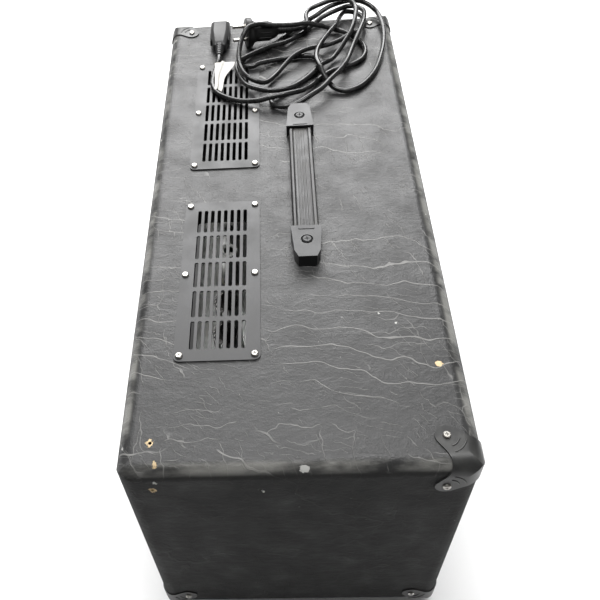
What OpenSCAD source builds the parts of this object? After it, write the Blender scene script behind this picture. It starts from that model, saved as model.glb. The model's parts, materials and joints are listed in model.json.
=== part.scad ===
// Valve guitar amplifier head: a covered plywood cabinet that holds a steel chassis,
// with its detachable mains lead lying coiled loosely on the lid.
// Millimetres. +Z up, -Y the player's side (front), +X to the right as the player sees it.
// The origin is under the middle of the feet.

/* [Cabinet] */
// Width of the covered cabinet
cab_w = 742; // [736:1:900]
// Depth of the covered cabinet
cab_d = 315; // [302:1:380]
// Height of the covered cabinet, without its feet
cab_h = 322; // [268:1:390]
// Radius of every outer edge
edge_r = 15; // [8:1:17]
// Thickness of the plywood boards
board_t = 18; // [15:1:22]
// Thickness of the vinyl covering
skin_t = 1; // [0.6:0.1:1.5]

/* [Corners and feet] */
// Distance of a corner screw from both edges
corner_inset = 30; // [26:1:36]
// Reach of a corner protector along an edge
corner_reach = 28; // [26:1:32]
// Radius of the protector's nose round its screw
corner_nose_r = 10; // [8:1:12]
// Wall of a corner protector
corner_t = 1.5; // [1:0.1:3]
// Height of a rubber foot
foot_h = 16; // [10:1:30]
// Radius of a rubber foot
foot_r = 19; // [15:1:25]
// Distance of a foot from the corner screw, along both edges
foot_inset = 25; // [22:1:50]

/* [Vents] */
// Length of a vent grille
vent_l = 224; // [200:1:235]
// Width of a vent grille
vent_w = 83; // [75:1:95]
// Distance from the middle of the lid to the middle of a vent
vent_x = 142; // [130:1:150]
// Distance of the vents behind the middle of the lid
vent_y = 72; // [60:1:80]
// Slots side by side
slot_columns = 8; // [6:1:9]
// Slots end to end
slot_rows = 5; // [4:1:5]
// Length of one slot
slot_l = 35; // [28:1:38]
// Width of one slot
slot_w = 4; // [3:0.5:5]
// Distance between slots side by side
slot_pitch_y = 7.2; // [6.5:0.1:7.6]
// Distance between slots end to end
slot_pitch_x = 40.3; // [38.5:0.1:42]
// Thickness of a vent grille
vent_t = 1.6; // [1:0.1:2.5]

/* [Carrying handle] */
// Distance between the two handle screws
handle_span = 218; // [200:1:240]
// Distance of the handle in front of the middle of the lid
handle_y = 19; // [0:1:30]
// Length of an end cap
cap_l = 46; // [42:1:56]
// Width of an end cap where the strap enters
cap_w_in = 33; // [31:1:38]
// Width of an end cap at its outer end
cap_w_out = 25; // [22:1:30]
// Height of an end cap
cap_h = 15; // [14:0.5:18]
// Width of the strap
strap_w = 27; // [22:1:28]
// Thickness of the strap
strap_t = 8; // [7:0.5:9]
// Angle that half of the strap rises when the handle is lifted
strap_lift = 12; // [8:1:14]

/* [Front] */
// Depth of the control panel behind the front rim
panel_recess = 26; // [24:1:32]
// Height of the control panel
panel_h = 70; // [64:1:76]
// Distance between controls
knob_pitch = 50; // [42:1:54]
// Radius of a knob's grip
knob_r = 9.5; // [7:0.5:12]
// Length of a knob
knob_l = 15; // [12:0.5:17]
// Radius of a control's shaft
shaft_r = 3; // [2.5:0.1:3.2]

/* [Chassis] */
// Thickness of the chassis steel
steel_t = 1.5; // [1:0.1:2]
// Height of the chassis
chassis_h = 70; // [66:1:76]
// Depth of the chassis's back behind the rear rim
rear_recess = 28; // [24:1:36]
// Distance between power valves
valve_pitch = 50; // [44:1:54]
// Radius of a power valve's glass
valve_r = 16; // [13:0.5:18]
// Height of a power valve above its base
valve_h = 88; // [70:1:110]

/* [Jacks and lead] */
// Radius of a jack's bore, for a 6.35 mm plug
jack_r = 3.25; // [3.2:0.05:3.5]
// Radius of the mains lead
cord_r = 3.3; // [3:0.1:4]

/* [Hidden] */
$fn = 48;
eps = 0.01;
through = 1;            // how far a cutter runs past the face it opens
run_gap = 0.05;         // radial clearance of a turning shaft
fit_gap = 0.3;          // clearance between parts of different bodies
seat_gap = 0.2;         // clearance of a fixed part in its hole

wall = board_t + skin_t;
half_w = cab_w / 2;
half_d = cab_d / 2;
z_floor = foot_h + wall;
z_ceil = foot_h + cab_h - wall;
lid_z = foot_h + cab_h;
in_half = half_w - wall;

// screws
pan_r = 3.6;
pan_h = 2.2;
pilot_r = 1.6;
cross_l = 3.6;
cross_w = 0.9;

// chassis and panel
panel_t = 2;
panel_y = panel_recess - half_d;            // front face of the control panel
chassis_y0 = panel_y + panel_t;             // front face of the chassis
chassis_y1 = half_d - rear_recess;          // rear face of the chassis
chassis_half = in_half - 12;
deck_z = z_floor + chassis_h;               // top of the chassis deck
panel_half = in_half - 4;
panel_z0 = z_floor + 2;
panel_z1 = panel_z0 + panel_h;
panel_mid = (panel_z0 + panel_z1) / 2;
rail_h = 14;
rail_z0 = panel_z1 + 2;
rail_y = 8 - half_d;
rail_t = 18;
baffle_t = 12;
baffle_y = 9 - half_d;
baffle_z0 = rail_z0 + rail_h;
cloth_t = 1.2;
piping_r = 2;
cleat = 20;
foot_from_edge = corner_inset + foot_inset;
guard_t = 1.5;
guard_y = half_d - 20;
guard_z0 = deck_z + 8;
guard_half = in_half - 2;
guard_z1 = z_ceil - 1;
guard_mid = (guard_z0 + guard_z1) / 2;
guard_screw_margin = 22.5;
guard_screw_step = (guard_z1 - guard_z0) / 2 - guard_screw_margin;
guard_rim = 25.5;
guard_bridge = 11;
guard_slot_r = 4;
guard_slot_l = (guard_z1 - guard_z0 - 2 * guard_rim - 2 * guard_bridge) / 3;

// controls
knob_n = 8;
knob_x0 = -205;
knob_skirt_r = knob_r + 2.5;
knob_skirt_t = 3;
nut_r = 7;
nut_t = 2;
bush_r = 4.6;
pot_r = 12;
pot_d = 12;
knob_back = panel_y - nut_t - 1;            // rear face of a knob
jack_x = [-318, -288];
button_x = -255;
button_r = 4.5;
button_out = 6;
button_travel = 3;
standby_x = 222;
power_x = 262;
lamp_x = 305;
rocker_half = 11.3;
rocker_w = 12;
rocker_depth = 3;
rocker_out = 3.2;
rocker_tilt = 11;
rocker_hole = 12.3;
bezel = 2;

// rear wall
inlet_x = -285;
inlet_w = 24.5;
inlet_h = 17;
inlet_deep = 18;
fuse_x = -232;
fuse_r = 8;
rear_jack_x = [-60, -30, 30, 70, 110];
rear_mid = (z_floor + deck_z) / 2;
board_drop = 18;        // circuit board below the deck

// valves and iron
valve_y = 78;
valve_x0 = -215;
preamp_x = [70, 115, 160, 205];
preamp_y = 82;
preamp_r = 10.6;
preamp_h = 52;
shield_r = 12.6;
shield_t = 0.7;
shield_h = 60;
socket_r = 18.5;
base_r = 17;
base_h = 22;

// handle
cap_wall = 2.5;
cap_inner = handle_span / 2 - 21;           // where a cap's mouth is
strap_z = lid_z + 5;                        // underside of the strap
strap_gap = 1.6;                            // strap to cap mouth
tongue_t = 4;
tongue_w = 20;
tongue_z = strap_z + strap_t / 2 - 0.5;     // height of the end pivots
pivot_x = cap_inner + 4;
tongue_end = cap_inner + 14;
half_gap = fit_gap / 2;
handle_screw_r = 5.5;

// mains lead: points that it follows above the lid, from its connector to its plug
LEAD = [
  [264, 85, 10], [252, 85, 9], [240, 88, 6.5], [222, 91, 5.2], [202, 92, 5.2], [182, 86, 5.4],
  [168, 72, 5.6], [159, 55, 6], [153, 34, 9], [152, 14, 14], [156, -6, 15], [168, -24, 11],
  [186, -37, 6], [206, -50, 4], [222, -68, 4], [232, -90, 4], [244, -106, 4], [262, -114, 4],
  [280, -113, 4], [298, -105, 4], [315, -90, 5], [325, -72, 6], [321, -56, 13], [315, -36, 21],
  [305, -14, 25], [298, 13, 30], [291, 31, 36], [280, 44, 38], [267, 52, 31], [247, 56, 25],
  [226, 56, 20], [206, 50, 16], [196, 38, 12], [197, 23, 7], [214, 10, 5], [234, -3, 7],
  [252, -18, 11], [266, -37, 11.5], [277, -58, 8], [287, -78, 8], [297, -95, 11],
  [309, -110, 10.5], [328, -119, 9], [348, -117, 8.5], [363, -107, 7.5], [367, -94, 7],
  [352, -86, 8], [325, -79, 13], [296, -66, 16], [270, -55, 18], [249, -48, 18.5], [229, -46, 19],
  [208, -50, 18], [192, -57, 11], [179, -66, 6], [173, -80, 4], [179, -96, 4], [194, -110, 4],
  [220, -124, 4], [252, -134, 4], [290, -142, 4], [324, -144, 7], [357, -139, 9], [371, -124, 16],
  [372, -103, 21], [371, -74, 15], [358, -49, 7], [339, -25, 5], [320, -9, 4], [301, 3, 4],
  [286, 20, 4], [272, 40, 4.5], [256, 52, 5.5], [241, 52, 6], [237, 40, 6.5], [243, 29, 7.5],
  [255, 6, 4], [260, -18, 4], [260, -38, 4], [250, -52, 4], [234, -52, 4], [216, -38, 4],
  [196, -20, 4], [176, 0, 5], [162, 14, 5], [148, 12, 5], [142, -2, 6], [145, -18, 8],
  [154, -34, 12], [167, -50, 14], [184, -62, 15.5], [204, -74, 14], [230, -86, 12], [258, -95, 12],
  [290, -107, 18], [321, -116, 18], [348, -119, 16], [364, -113, 14], [369, -98, 14],
  [359, -78, 13], [350, -59, 9], [334, -42, 4.5], [315, -26, 4], [295, -6, 6], [280, 14, 10],
  [265, 32, 12], [252, 46, 13], [240, 58, 13], [224, 60, 12], [208, 55, 9], [192, 47, 8],
  [178, 35, 11], [168, 17, 13], [172, -8, 13], [188, -26, 12], [208, -40, 11], [226, -52, 11],
  [250, -70, 6], [276, -88, 15], [296, -98, 21], [320, -104, 25], [345, -106, 26], [361, -96, 28],
  [371, -78, 24], [371, -58, 18], [364, -43, 15], [348, -37, 15], [332, -38, 13], [321, -33, 12],
  [317.3, -21.5, 12.9]
];
lead_steps = 2;
lead_sides = 8;

// lead fittings
conn_w = 27;
conn_h = 19;
conn_l = 58;
conn_mid = 10;          // height of the connector's axis above the lid
conn_y = 85;
conn_x = 262;           // where the cord leaves it
relief_l = 22;
relief_r = 6;
relief_end = 0.8;       // how much wider than the cord a relief ends
plug_face = [300, 48, 20];
plug_turn = 14;
plug_tilt = 5.7;
plug_r = 19;
plug_waist = 12;
plug_l = 44;
plug_tail = 28;
pin_r = 2.4;
pin_l = 19;
pin_gap = 19;
tag_up = 11.2;           // paper label above the lid

// ---------------------------------------------------------------- shapes

module rounded_rect(w, d, r) {
  square([w - 2 * r, d], center = true);
  square([w, d - 2 * r], center = true);
  for (x = [-1, 1], y = [-1, 1])
    translate([x * (w / 2 - r), y * (d / 2 - r)]) circle(r);
}

// a block whose twelve edges are all rounded, standing on z = 0
module rounded_block(w, d, h, r) {
  intersection() {
    linear_extrude(h) rounded_rect(w, d, r);
    translate([0, 0, h / 2]) rotate([90, 0, 0])
      linear_extrude(d + 2, center = true) rounded_rect(w, h, r);
    translate([0, 0, h / 2]) rotate([90, 0, 90])
      linear_extrude(w + 2, center = true) rounded_rect(d, h, r);
  }
}

// the cabinet's outer form, grown by g all round
module cabinet_form(g) {
  translate([0, 0, foot_h - g])
    rounded_block(cab_w + 2 * g, cab_d + 2 * g, cab_h + 2 * g, edge_r + g);
}

module box(x0, x1, y0, y1, z0, z1) {
  translate([x0, y0, z0]) cube([x1 - x0, y1 - y0, z1 - z0]);
}

// cylinders along y, from y0 to y1
module rod_y(x, z, r, y0, y1) {
  translate([x, y0, z]) rotate([-90, 0, 0]) cylinder(h = y1 - y0, r = r);
}

// a pan-head screw that points down, its head on z = 0
module pan_screw(head_r, head_h, shank_r, shank_l) {
  difference() {
    union() {
      cylinder(h = head_h * 0.6, r = head_r);
      translate([0, 0, head_h * 0.6])
        cylinder(h = head_h * 0.4, r1 = head_r, r2 = head_r * 0.75);
      translate([0, 0, -shank_l]) cylinder(h = shank_l + eps, r = shank_r);
    }
    for (a = [0, 90])
      rotate(a) translate([0, 0, head_h])
        cube([cross_l * head_r / pan_r, cross_w, head_h * 1.2], center = true);
  }
}

// ---------------------------------------------------------------- cabinet

// screws of one corner: [x sign, y sign, z sign]; the rear left corner of the lid has none
CORNERS = [
  [-1, -1, 1], [1, -1, 1], [1, 1, 1],
  [-1, -1, -1], [1, -1, -1], [-1, 1, -1], [1, 1, -1]
];
ALL_CORNERS = concat(CORNERS, [[-1, 1, 1]]);
mid_z = foot_h + cab_h / 2;

// places a child, whose z axis points out of the face, at a corner's screw
module at_lid_screw(c, lift) {
  translate([c.x * (half_w - corner_inset), c.y * (half_d - corner_inset), mid_z + c.z * (cab_h / 2 + lift)])
    rotate([c.z > 0 ? 0 : 180, 0, 0]) children();
}
module at_end_screw(c, lift) {
  translate([c.x * (half_w + lift), c.y * (half_d - corner_inset), mid_z + c.z * (cab_h / 2 - corner_inset)])
    rotate([0, 90 * c.x, 0]) children();
}
corner_pilot = 12;

module corner_pilots() {
  for (c = ALL_CORNERS) {
    at_lid_screw(c, -corner_pilot) cylinder(h = corner_pilot + through, r = pilot_r);
    at_end_screw(c, -corner_pilot) cylinder(h = corner_pilot + through, r = pilot_r);
  }
}

module core() { cabinet_form(-skin_t); }

module vent_wells() {
  for (s = [-1, 1])
    translate([s * vent_x, vent_y, z_ceil - through])
      linear_extrude(wall + 2 * through) rounded_rect(vent_l - 22, vent_w - 24, 5);
}
vent_hole_x = vent_l / 2 - 6.5;
vent_hole_y = vent_w / 2 - 5.5;
module vent_pilots(r) {
  for (s = [-1, 1], i = [-1, 0, 1], j = [-1, 1])
    translate([s * vent_x + i * vent_hole_x, vent_y + j * vent_hole_y, lid_z - corner_pilot])
      cylinder(h = corner_pilot + vent_t + through, r = r);
}
module handle_pilots() {
  for (s = [-1, 1])
    translate([s * handle_span / 2, -handle_y, z_ceil - through])
      cylinder(h = wall + 2 * through, r = 2.7);
}
module chassis_bolt_places() {
  for (x = [-0.82, 0.82], y = [chassis_y0 + 10, chassis_y1 - 10])
    translate([x * chassis_half, y, 0]) children();
}
module foot_places() {
  for (x = [-1, 1], y = [-1, 1])
    translate([x * (half_w - foot_from_edge), y * (half_d - foot_from_edge), 0]) children();
}

module top_board() {
  color("burlywood") difference() {
    intersection() {
      core();
      box(-half_w, half_w, -half_d, half_d, z_ceil, lid_z);
    }
    vent_wells();
    vent_pilots(pilot_r);
    handle_pilots();
    corner_pilots();
  }
}
module bottom_board() {
  color("burlywood") difference() {
    intersection() {
      core();
      box(-half_w, half_w, -half_d, half_d, foot_h, z_floor);
    }
    corner_pilots();
    chassis_bolt_places() cylinder(h = z_floor + through, r = 3.2);
    chassis_bolt_places() cylinder(h = foot_h + skin_t + 5, r = 8);
    foot_places() cylinder(h = foot_h + corner_pilot, r = pilot_r);
  }
}
module side_board(s) {
  color("burlywood") difference() {
    intersection() {
      core();
      translate([s * (half_w - wall / 2), 0, 0])
        box(-wall / 2, wall / 2, -half_d, half_d, z_floor, z_ceil);
    }
    corner_pilots();
  }
}
module left_board() { side_board(-1); }
module right_board() { side_board(1); }

// softwood strips glued inside the ends: the baffle and the rear guard screw to them
module cleats() {
  color("tan") for (s = [-1, 1]) {
    translate([s * (in_half - cleat / 2), 0, 0]) {
      box(-cleat / 2, cleat / 2, baffle_y + baffle_t, baffle_y + baffle_t + cleat, baffle_z0, z_ceil);
      box(-cleat / 2, cleat / 2, guard_y - cleat, guard_y, guard_z0, z_ceil);
    }
  }
}

module vinyl_covering() {
  color([0.05, 0.05, 0.055]) difference() {
    cabinet_form(0);
    core();
    box(-in_half, in_half, -half_d - through, half_d + through, z_floor, z_ceil);
    vent_wells();
    vent_pilots(pilot_r);
    handle_pilots();
    corner_pilots();
    chassis_bolt_places() cylinder(h = foot_h + skin_t + through, r = 8);
    foot_places() cylinder(h = foot_h + corner_pilot, r = pilot_r);
  }
}

// outlines of a protector, the corner at the origin: a nose round its screw that narrows in an
// S-curve to the cabinet's edges on the lid and ends, and a plain step on the thin rims
module protector_outline() {
  t = -corner_t;
  r = corner_reach;
  n = corner_inset;
  polygon([
    [t, t], [r, t], [r, 3], [r + 1, 9], [r + 4, 15], [n + 8, n - 6], [n, n],
    [n - 6, n + 8], [15, r + 4], [9, r + 1], [3, r], [t, r]
  ]);
  translate([n, n]) circle(corner_nose_r);
}
module protector_rim() {
  w = wall - 3;
  t = -corner_t;
  r = corner_reach;
  polygon([[t, t], [r, t], [r, 3], [r - 3, w - 3], [r - 6, w], [w, w], [w, r - 6], [w - 3, r - 3], [3, r], [t, r]]);
}
module protector(c) {
  deep = edge_r + corner_t + through;
  difference() {
    intersection() {
      cabinet_form(corner_t);
      // measured from the corner inwards along x, y and z
      translate([c.x * half_w, c.y * half_d, mid_z + c.z * cab_h / 2])
        mirror([c.x > 0 ? 1 : 0, 0, 0]) mirror([0, c.y > 0 ? 1 : 0, 0]) mirror([0, 0, c.z > 0 ? 1 : 0]) {
          translate([0, 0, edge_r - deep]) linear_extrude(deep) protector_outline();
          translate([edge_r - deep, 0, 0]) rotate([90, 0, 90]) linear_extrude(deep) protector_outline();
          translate([0, edge_r, 0]) rotate([90, 0, 0]) linear_extrude(deep) protector_rim();
        }
    }
    cabinet_form(0);
    at_lid_screw(c, -through) cylinder(h = corner_t + 2 * through, r = pilot_r + seat_gap);
    at_end_screw(c, -through) cylinder(h = corner_t + 2 * through, r = pilot_r + seat_gap);
  }
}
module corner_protectors() {
  color([0.07, 0.07, 0.07]) for (c = CORNERS) protector(c);
}
module corner_screws() {
  color("silver") for (c = CORNERS) {
    at_lid_screw(c, corner_t) pan_screw(pan_r, pan_h, pilot_r, 10);
    at_end_screw(c, corner_t) pan_screw(pan_r, pan_h, pilot_r, 10);
  }
}

module rubber_feet() {
  color([0.08, 0.08, 0.08]) foot_places() difference() {
    cylinder(h = foot_h, r1 = foot_r - 2, r2 = foot_r);
    translate([0, 0, -through]) cylinder(h = foot_h - 5 + through, r = 6);
    cylinder(h = foot_h + through, r = pilot_r + seat_gap);
  }
}
module foot_screws() {
  color("silver") foot_places()
    translate([0, 0, foot_h - 5]) rotate([180, 0, 0]) pan_screw(pan_r * 1.3, pan_h, pilot_r, 15);
}

// ---------------------------------------------------------------- vents

module vent_grille(s) {
  color([0.2, 0.2, 0.21]) translate([s * vent_x, vent_y, lid_z])
    linear_extrude(vent_t) difference() {
      rounded_rect(vent_l, vent_w, 6);
      for (i = [0 : slot_rows - 1], j = [0 : slot_columns - 1])
        translate([
          (i - (slot_rows - 1) / 2) * slot_pitch_x,
          (j - (slot_columns - 1) / 2) * slot_pitch_y
        ]) {
          square([slot_l - slot_w, slot_w], center = true);
          for (e = [-1, 1]) translate([e * (slot_l - slot_w) / 2, 0]) circle(slot_w / 2);
        }
      for (i = [-1, 0, 1], j = [-1, 1])
        translate([i * vent_hole_x, j * vent_hole_y]) circle(pilot_r + seat_gap);
    }
}
module vent_grille_left() { vent_grille(-1); }
module vent_grille_right() { vent_grille(1); }
module vent_screws() {
  color("silver") for (s = [-1, 1], i = [-1, 0, 1], j = [-1, 1])
    translate([s * vent_x + i * vent_hole_x, vent_y + j * vent_hole_y, lid_z + vent_t])
      pan_screw(pan_r, pan_h, pilot_r, 10);
}

// ---------------------------------------------------------------- handle

module handle_cap(s) {
  w0 = cap_w_in / 2;
  w1 = cap_w_out / 2;
  color([0.09, 0.09, 0.09]) translate([0, -handle_y, lid_z]) scale([s, 1, 1]) difference() {
    union() {
      translate([cap_inner, 0, 0]) linear_extrude(cap_h)
        polygon([[0, -w0], [cap_l * 0.8, -w1 - 1], [cap_l, -w1 + 3], [cap_l, w1 - 3], [cap_l * 0.8, w1 + 1], [0, w0]]);
      translate([cap_inner + 4, 0, cap_h - eps]) linear_extrude(0.6) rounded_rect(3.5, 17, 1);
    }
    // cavity, open below and towards the strap
    translate([cap_inner - through, 0, -through]) linear_extrude(cap_h - cap_wall + through)
      polygon([[0, cap_wall - w0], [17.5, cap_wall - w0 + 1], [17.5, w0 - cap_wall - 1], [0, w0 - cap_wall]]);
    translate([handle_span / 2, 0, -through]) cylinder(h = cap_h + 2 * through, r = 2.7);
    translate([handle_span / 2, 0, cap_h - 2]) cylinder(h = 2 + through, r = handle_screw_r + 1);
  }
}
module handle_cap_left() { handle_cap(-1); }
module handle_cap_right() { handle_cap(1); }
module handle_screws() {
  color("silver") for (s = [-1, 1])
    translate([s * handle_span / 2, -handle_y, lid_z + cap_h - 2])
      pan_screw(handle_screw_r, 3, 2.5, cap_h + wall);
}
// half of the strap: a ribbed band with a raised edge each side, and a tongue held in its cap
module strap_half(s) {
  rib = 4;
  color([0.1, 0.1, 0.1]) translate([0, -handle_y, 0]) scale([s, 1, 1]) {
    difference() {
      translate([half_gap, 0, 0])
        box(0, cap_inner - strap_gap - half_gap, -strap_w / 2, strap_w / 2, strap_z, strap_z + strap_t);
      box(-through, cap_inner, rib - strap_w / 2, strap_w / 2 - rib, strap_z + strap_t - 1.5, strap_z + strap_t + 1);
    }
    box(cap_inner - strap_gap - eps, tongue_end, -tongue_w / 2, tongue_w / 2,
      tongue_z - tongue_t / 2, tongue_z + tongue_t / 2);
  }
}
module strap_left() { strap_half(-1); }
module strap_right() { strap_half(1); }

// ---------------------------------------------------------------- front

module baffle_board() {
  color("burlywood") box(-in_half + 1, in_half - 1, baffle_y, baffle_y + baffle_t, baffle_z0, z_ceil);
}
module grille_cloth() {
  color([0.12, 0.12, 0.12])
    box(-in_half + 1, in_half - 1, baffle_y - cloth_t, baffle_y, baffle_z0, z_ceil);
}
module front_piping() {
  px = in_half - 6;
  py = baffle_y - cloth_t - piping_r;
  z0 = baffle_z0 + 5;
  z1 = z_ceil - 5;
  color("white") {
    for (z = [z0, z1]) translate([-px, py, z]) rotate([0, 90, 0]) cylinder(h = 2 * px, r = piping_r);
    for (x = [-px, px]) translate([x, py, z0]) cylinder(h = z1 - z0, r = piping_r);
    for (x = [-px, px], z = [z0, z1]) translate([x, py, z]) sphere(piping_r);
  }
}
module front_rail() {
  color([0.05, 0.05, 0.055]) box(-in_half, in_half, rail_y, rail_y + rail_t, rail_z0, rail_z0 + rail_h);
}

function knob_x(i) = knob_x0 + i * knob_pitch;

// openings that the panel and the chassis's front wall share
module front_cuts(y0, y1) {
  for (i = [0 : knob_n - 1]) rod_y(knob_x(i), panel_mid, bush_r + seat_gap, y0, y1);
  for (x = jack_x) rod_y(x, panel_mid, 6 + seat_gap, y0, y1);
  rod_y(button_x, panel_mid, button_r + 2 + seat_gap, y0, y1);
  rod_y(lamp_x, panel_mid, 6 + seat_gap, y0, y1);
  for (x = [standby_x, power_x])
    box(x - rocker_w / 2 - bezel, x + rocker_w / 2 + bezel, y0, y1,
      panel_mid - rocker_hole - bezel, panel_mid + rocker_hole + bezel);
}
module control_panel() {
  color("silver") difference() {
    box(-panel_half, panel_half, panel_y, panel_y + panel_t, panel_z0, panel_z1);
    front_cuts(panel_y - through, panel_y + panel_t + through);
  }
}
module potentiometer(x) {
  difference() {
    union() {
      rod_y(x, panel_mid, pot_r, chassis_y0 + steel_t, chassis_y0 + steel_t + pot_d);
      rod_y(x, panel_mid, bush_r, panel_y - nut_t, chassis_y0 + steel_t + eps);
      translate([x, panel_y - nut_t, panel_mid]) rotate([-90, 0, 0]) cylinder(h = nut_t, r = nut_r, $fn = 6);
      box(x - 6, x + 6, chassis_y0 + steel_t + 2, chassis_y0 + steel_t + 4, panel_mid - pot_r - 6, panel_mid);
    }
    rod_y(x, panel_mid, shaft_r + run_gap, panel_y - nut_t - through, chassis_y0 + steel_t + 8);
  }
}
module potentiometers() {
  color("gray") for (i = [0 : knob_n - 1]) potentiometer(knob_x(i));
}
module knob(i) {
  x = knob_x(i);
  front = knob_back - knob_l;
  color([0.06, 0.06, 0.06]) difference() {
    union() {
      rod_y(x, panel_mid, knob_skirt_r, knob_back - knob_skirt_t, knob_back);
      rod_y(x, panel_mid, knob_r, front, knob_back);
      rod_y(x, panel_mid, shaft_r, knob_back - eps, chassis_y0 + steel_t + 7);
    }
    // pointer groove and grip flutes
    box(x - 0.6, x + 0.6, front - through, front + 0.6, panel_mid + 1, panel_mid + knob_r + 1);
    for (a = [30 : 30 : 330])
      translate([x, front - through, panel_mid]) rotate([0, a, 0]) translate([0, 0, knob_r + 0.6])
        rotate([-90, 0, 0]) cylinder(h = knob_l - knob_skirt_t + through - 0.5, r = 1.3, $fn = 16);
  }
}
module jack(x, y_face, y_dir, z) {
  // bush with a nut outside the wall, and the socket's body inside
  translate([x, y_face, z]) rotate([y_dir > 0 ? -90 : 90, 0, 0]) difference() {
    union() {
      translate([0, 0, -3]) cylinder(h = 4, r = 6);
      translate([0, 0, -3]) cylinder(h = 2.9, r = 8, $fn = 6);
      translate([0, 0, -1]) cylinder(h = panel_t + steel_t + 2, r = 6);
      translate([-10, -9, panel_t + steel_t]) cube([20, 18, 22]);
    }
    translate([0, 0, -3 - through]) cylinder(h = 24 + through, r = jack_r);
  }
}
module input_jacks() {
  color([0.15, 0.15, 0.15]) for (x = jack_x) jack(x, panel_y, 1, panel_mid);
}
rocker_pin_r = 1.2;
module rocker_pin(x, half, r) {
  translate([x - half, panel_y + 1.4, panel_mid]) rotate([0, 90, 0]) cylinder(h = 2 * half, r = r);
}
module switch_housing(x) {
  w = rocker_w / 2 + fit_gap;
  difference() {
    union() {
      box(x - w - bezel, x + w + bezel, panel_y - 1.5, panel_y,
        panel_mid - rocker_hole - bezel - 1, panel_mid + rocker_hole + bezel + 1);
      box(x - w - bezel + fit_gap, x + w + bezel - fit_gap, panel_y - 1, panel_y + 24,
        panel_mid - rocker_hole - bezel + fit_gap, panel_mid + rocker_hole + bezel - fit_gap);
    }
    box(x - w, x + w, panel_y - 1.5 - through, panel_y + 8,
      panel_mid - rocker_hole, panel_mid + rocker_hole);
    rocker_pin(x, rocker_w / 2 + 1.6, rocker_pin_r + run_gap);
  }
}
module switch_housings() {
  color([0.04, 0.04, 0.04]) {
    switch_housing(standby_x);
    switch_housing(power_x);
    difference() {
      union() {
        rod_y(button_x, panel_mid, button_r + 2, panel_y - 1.5, panel_y + 20);
        rod_y(button_x, panel_mid, button_r + 4, panel_y - 1.5, panel_y);
      }
      rod_y(button_x, panel_mid, button_r + run_gap, panel_y - 1.5 - through, panel_y + 16);
    }
  }
}
// a rocker turned to "off", its pivot just behind the bezel
module rocker(x) {
  color("firebrick") {
    translate([x, panel_y + 1.4, panel_mid]) rotate([rocker_tilt, 0, 0])
      rotate([90, 0, 90]) linear_extrude(rocker_w, center = true) polygon([
        [rocker_depth, -rocker_half + 0.5], [-rocker_out - 1.4, -rocker_half], [-rocker_out + 0.6, 0],
        [-rocker_out - 1.4, rocker_half], [rocker_depth, rocker_half - 0.5]
      ]);
    rocker_pin(x, rocker_w / 2 + 1.4, rocker_pin_r);
  }
}
module power_rocker() { rocker(power_x); }
module standby_rocker() { rocker(standby_x); }
module channel_button() {
  color("black") {
    rod_y(button_x, panel_mid, button_r, panel_y - 1.5 - button_out, panel_y + 11);
  }
}
module pilot_lamp() {
  color("red") {
    rod_y(lamp_x, panel_mid, 8, panel_y - 2.5, panel_y);
    rod_y(lamp_x, panel_mid, 6, panel_y - 2, panel_y + 18);
    intersection() {
      translate([lamp_x, panel_y - 2.5, panel_mid]) sphere(6);
      box(lamp_x - 9, lamp_x + 9, panel_y - 12, panel_y - 2, panel_mid - 9, panel_mid + 9);
    }
  }
}

// ---------------------------------------------------------------- chassis

inlet_flange = 5;
module rear_cuts(y0, y1) {
  for (x = rear_jack_x) rod_y(x, rear_mid, 6 + seat_gap, y0, y1);
  rod_y(fuse_x, rear_mid, fuse_r + seat_gap, y0, y1);
  box(inlet_x - inlet_w / 2 - 2 - seat_gap, inlet_x + inlet_w / 2 + 2 + seat_gap, y0, y1,
    rear_mid - inlet_h / 2 - 2 - seat_gap, rear_mid + inlet_h / 2 + 2 + seat_gap);
}
function valve_x(i) = valve_x0 + i * valve_pitch;
// deck, front, rear and ends, each spot welded to its neighbours a hair's breadth apart
weld_gap = 0.05;
module chassis_wall(y0, y1, lip0, lip1) {
  box(-chassis_half, chassis_half, y0, y1, z_floor, deck_z - steel_t - weld_gap);
  box(-chassis_half, chassis_half, lip0, lip1, z_floor, z_floor + steel_t);
}
module chassis() {
  lip = 22;
  w = chassis_half;
  t = steel_t;
  color("lightgray") {
    difference() {
      box(-w, w, chassis_y0, chassis_y1, deck_z - t, deck_z);
      for (i = [0 : 3]) translate([valve_x(i), valve_y, deck_z - 3]) cylinder(h = 9, r = 14.8);
      for (x = preamp_x) translate([x, preamp_y, deck_z - 3]) cylinder(h = 9, r = 10.2);
    }
    for (x = [-230, 0, 230], y = [-55, 45])
      translate([x, y, deck_z - board_drop]) cylinder(h = board_drop - t - weld_gap, r = 3);
    difference() {
      union() {
        chassis_wall(chassis_y0, chassis_y0 + t, chassis_y0, chassis_y0 + lip);
        chassis_wall(chassis_y1 - t, chassis_y1, chassis_y1 - lip, chassis_y1);
      }
      front_cuts(chassis_y0 - through, chassis_y0 + t + through);
      rear_cuts(chassis_y1 - t - through, chassis_y1 + through);
      chassis_bolt_places() cylinder(h = z_floor + t + through, r = 3.2);
    }
    for (s = [-1, 1])
      translate([s * (w - t / 2), 0, 0])
        box(-t / 2, t / 2, chassis_y0 + t + weld_gap, chassis_y1 - t - weld_gap,
          z_floor + t + weld_gap, deck_z - t - weld_gap);
  }
}
module chassis_bolts() {
  color("silver") chassis_bolt_places() {
    translate([0, 0, foot_h + 1]) cylinder(h = 5, r = 6, $fn = 6);
    translate([0, 0, foot_h + 5]) cylinder(h = wall + 4, r = 3);
    translate([0, 0, z_floor + steel_t]) cylinder(h = 5, r = 5.5, $fn = 6);
  }
}
board_z = deck_z - board_drop - 1.6;
module circuit_board() {
  color("darkgreen") box(-250, 250, -65, 55, board_z, board_z + 1.6);
}
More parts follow.
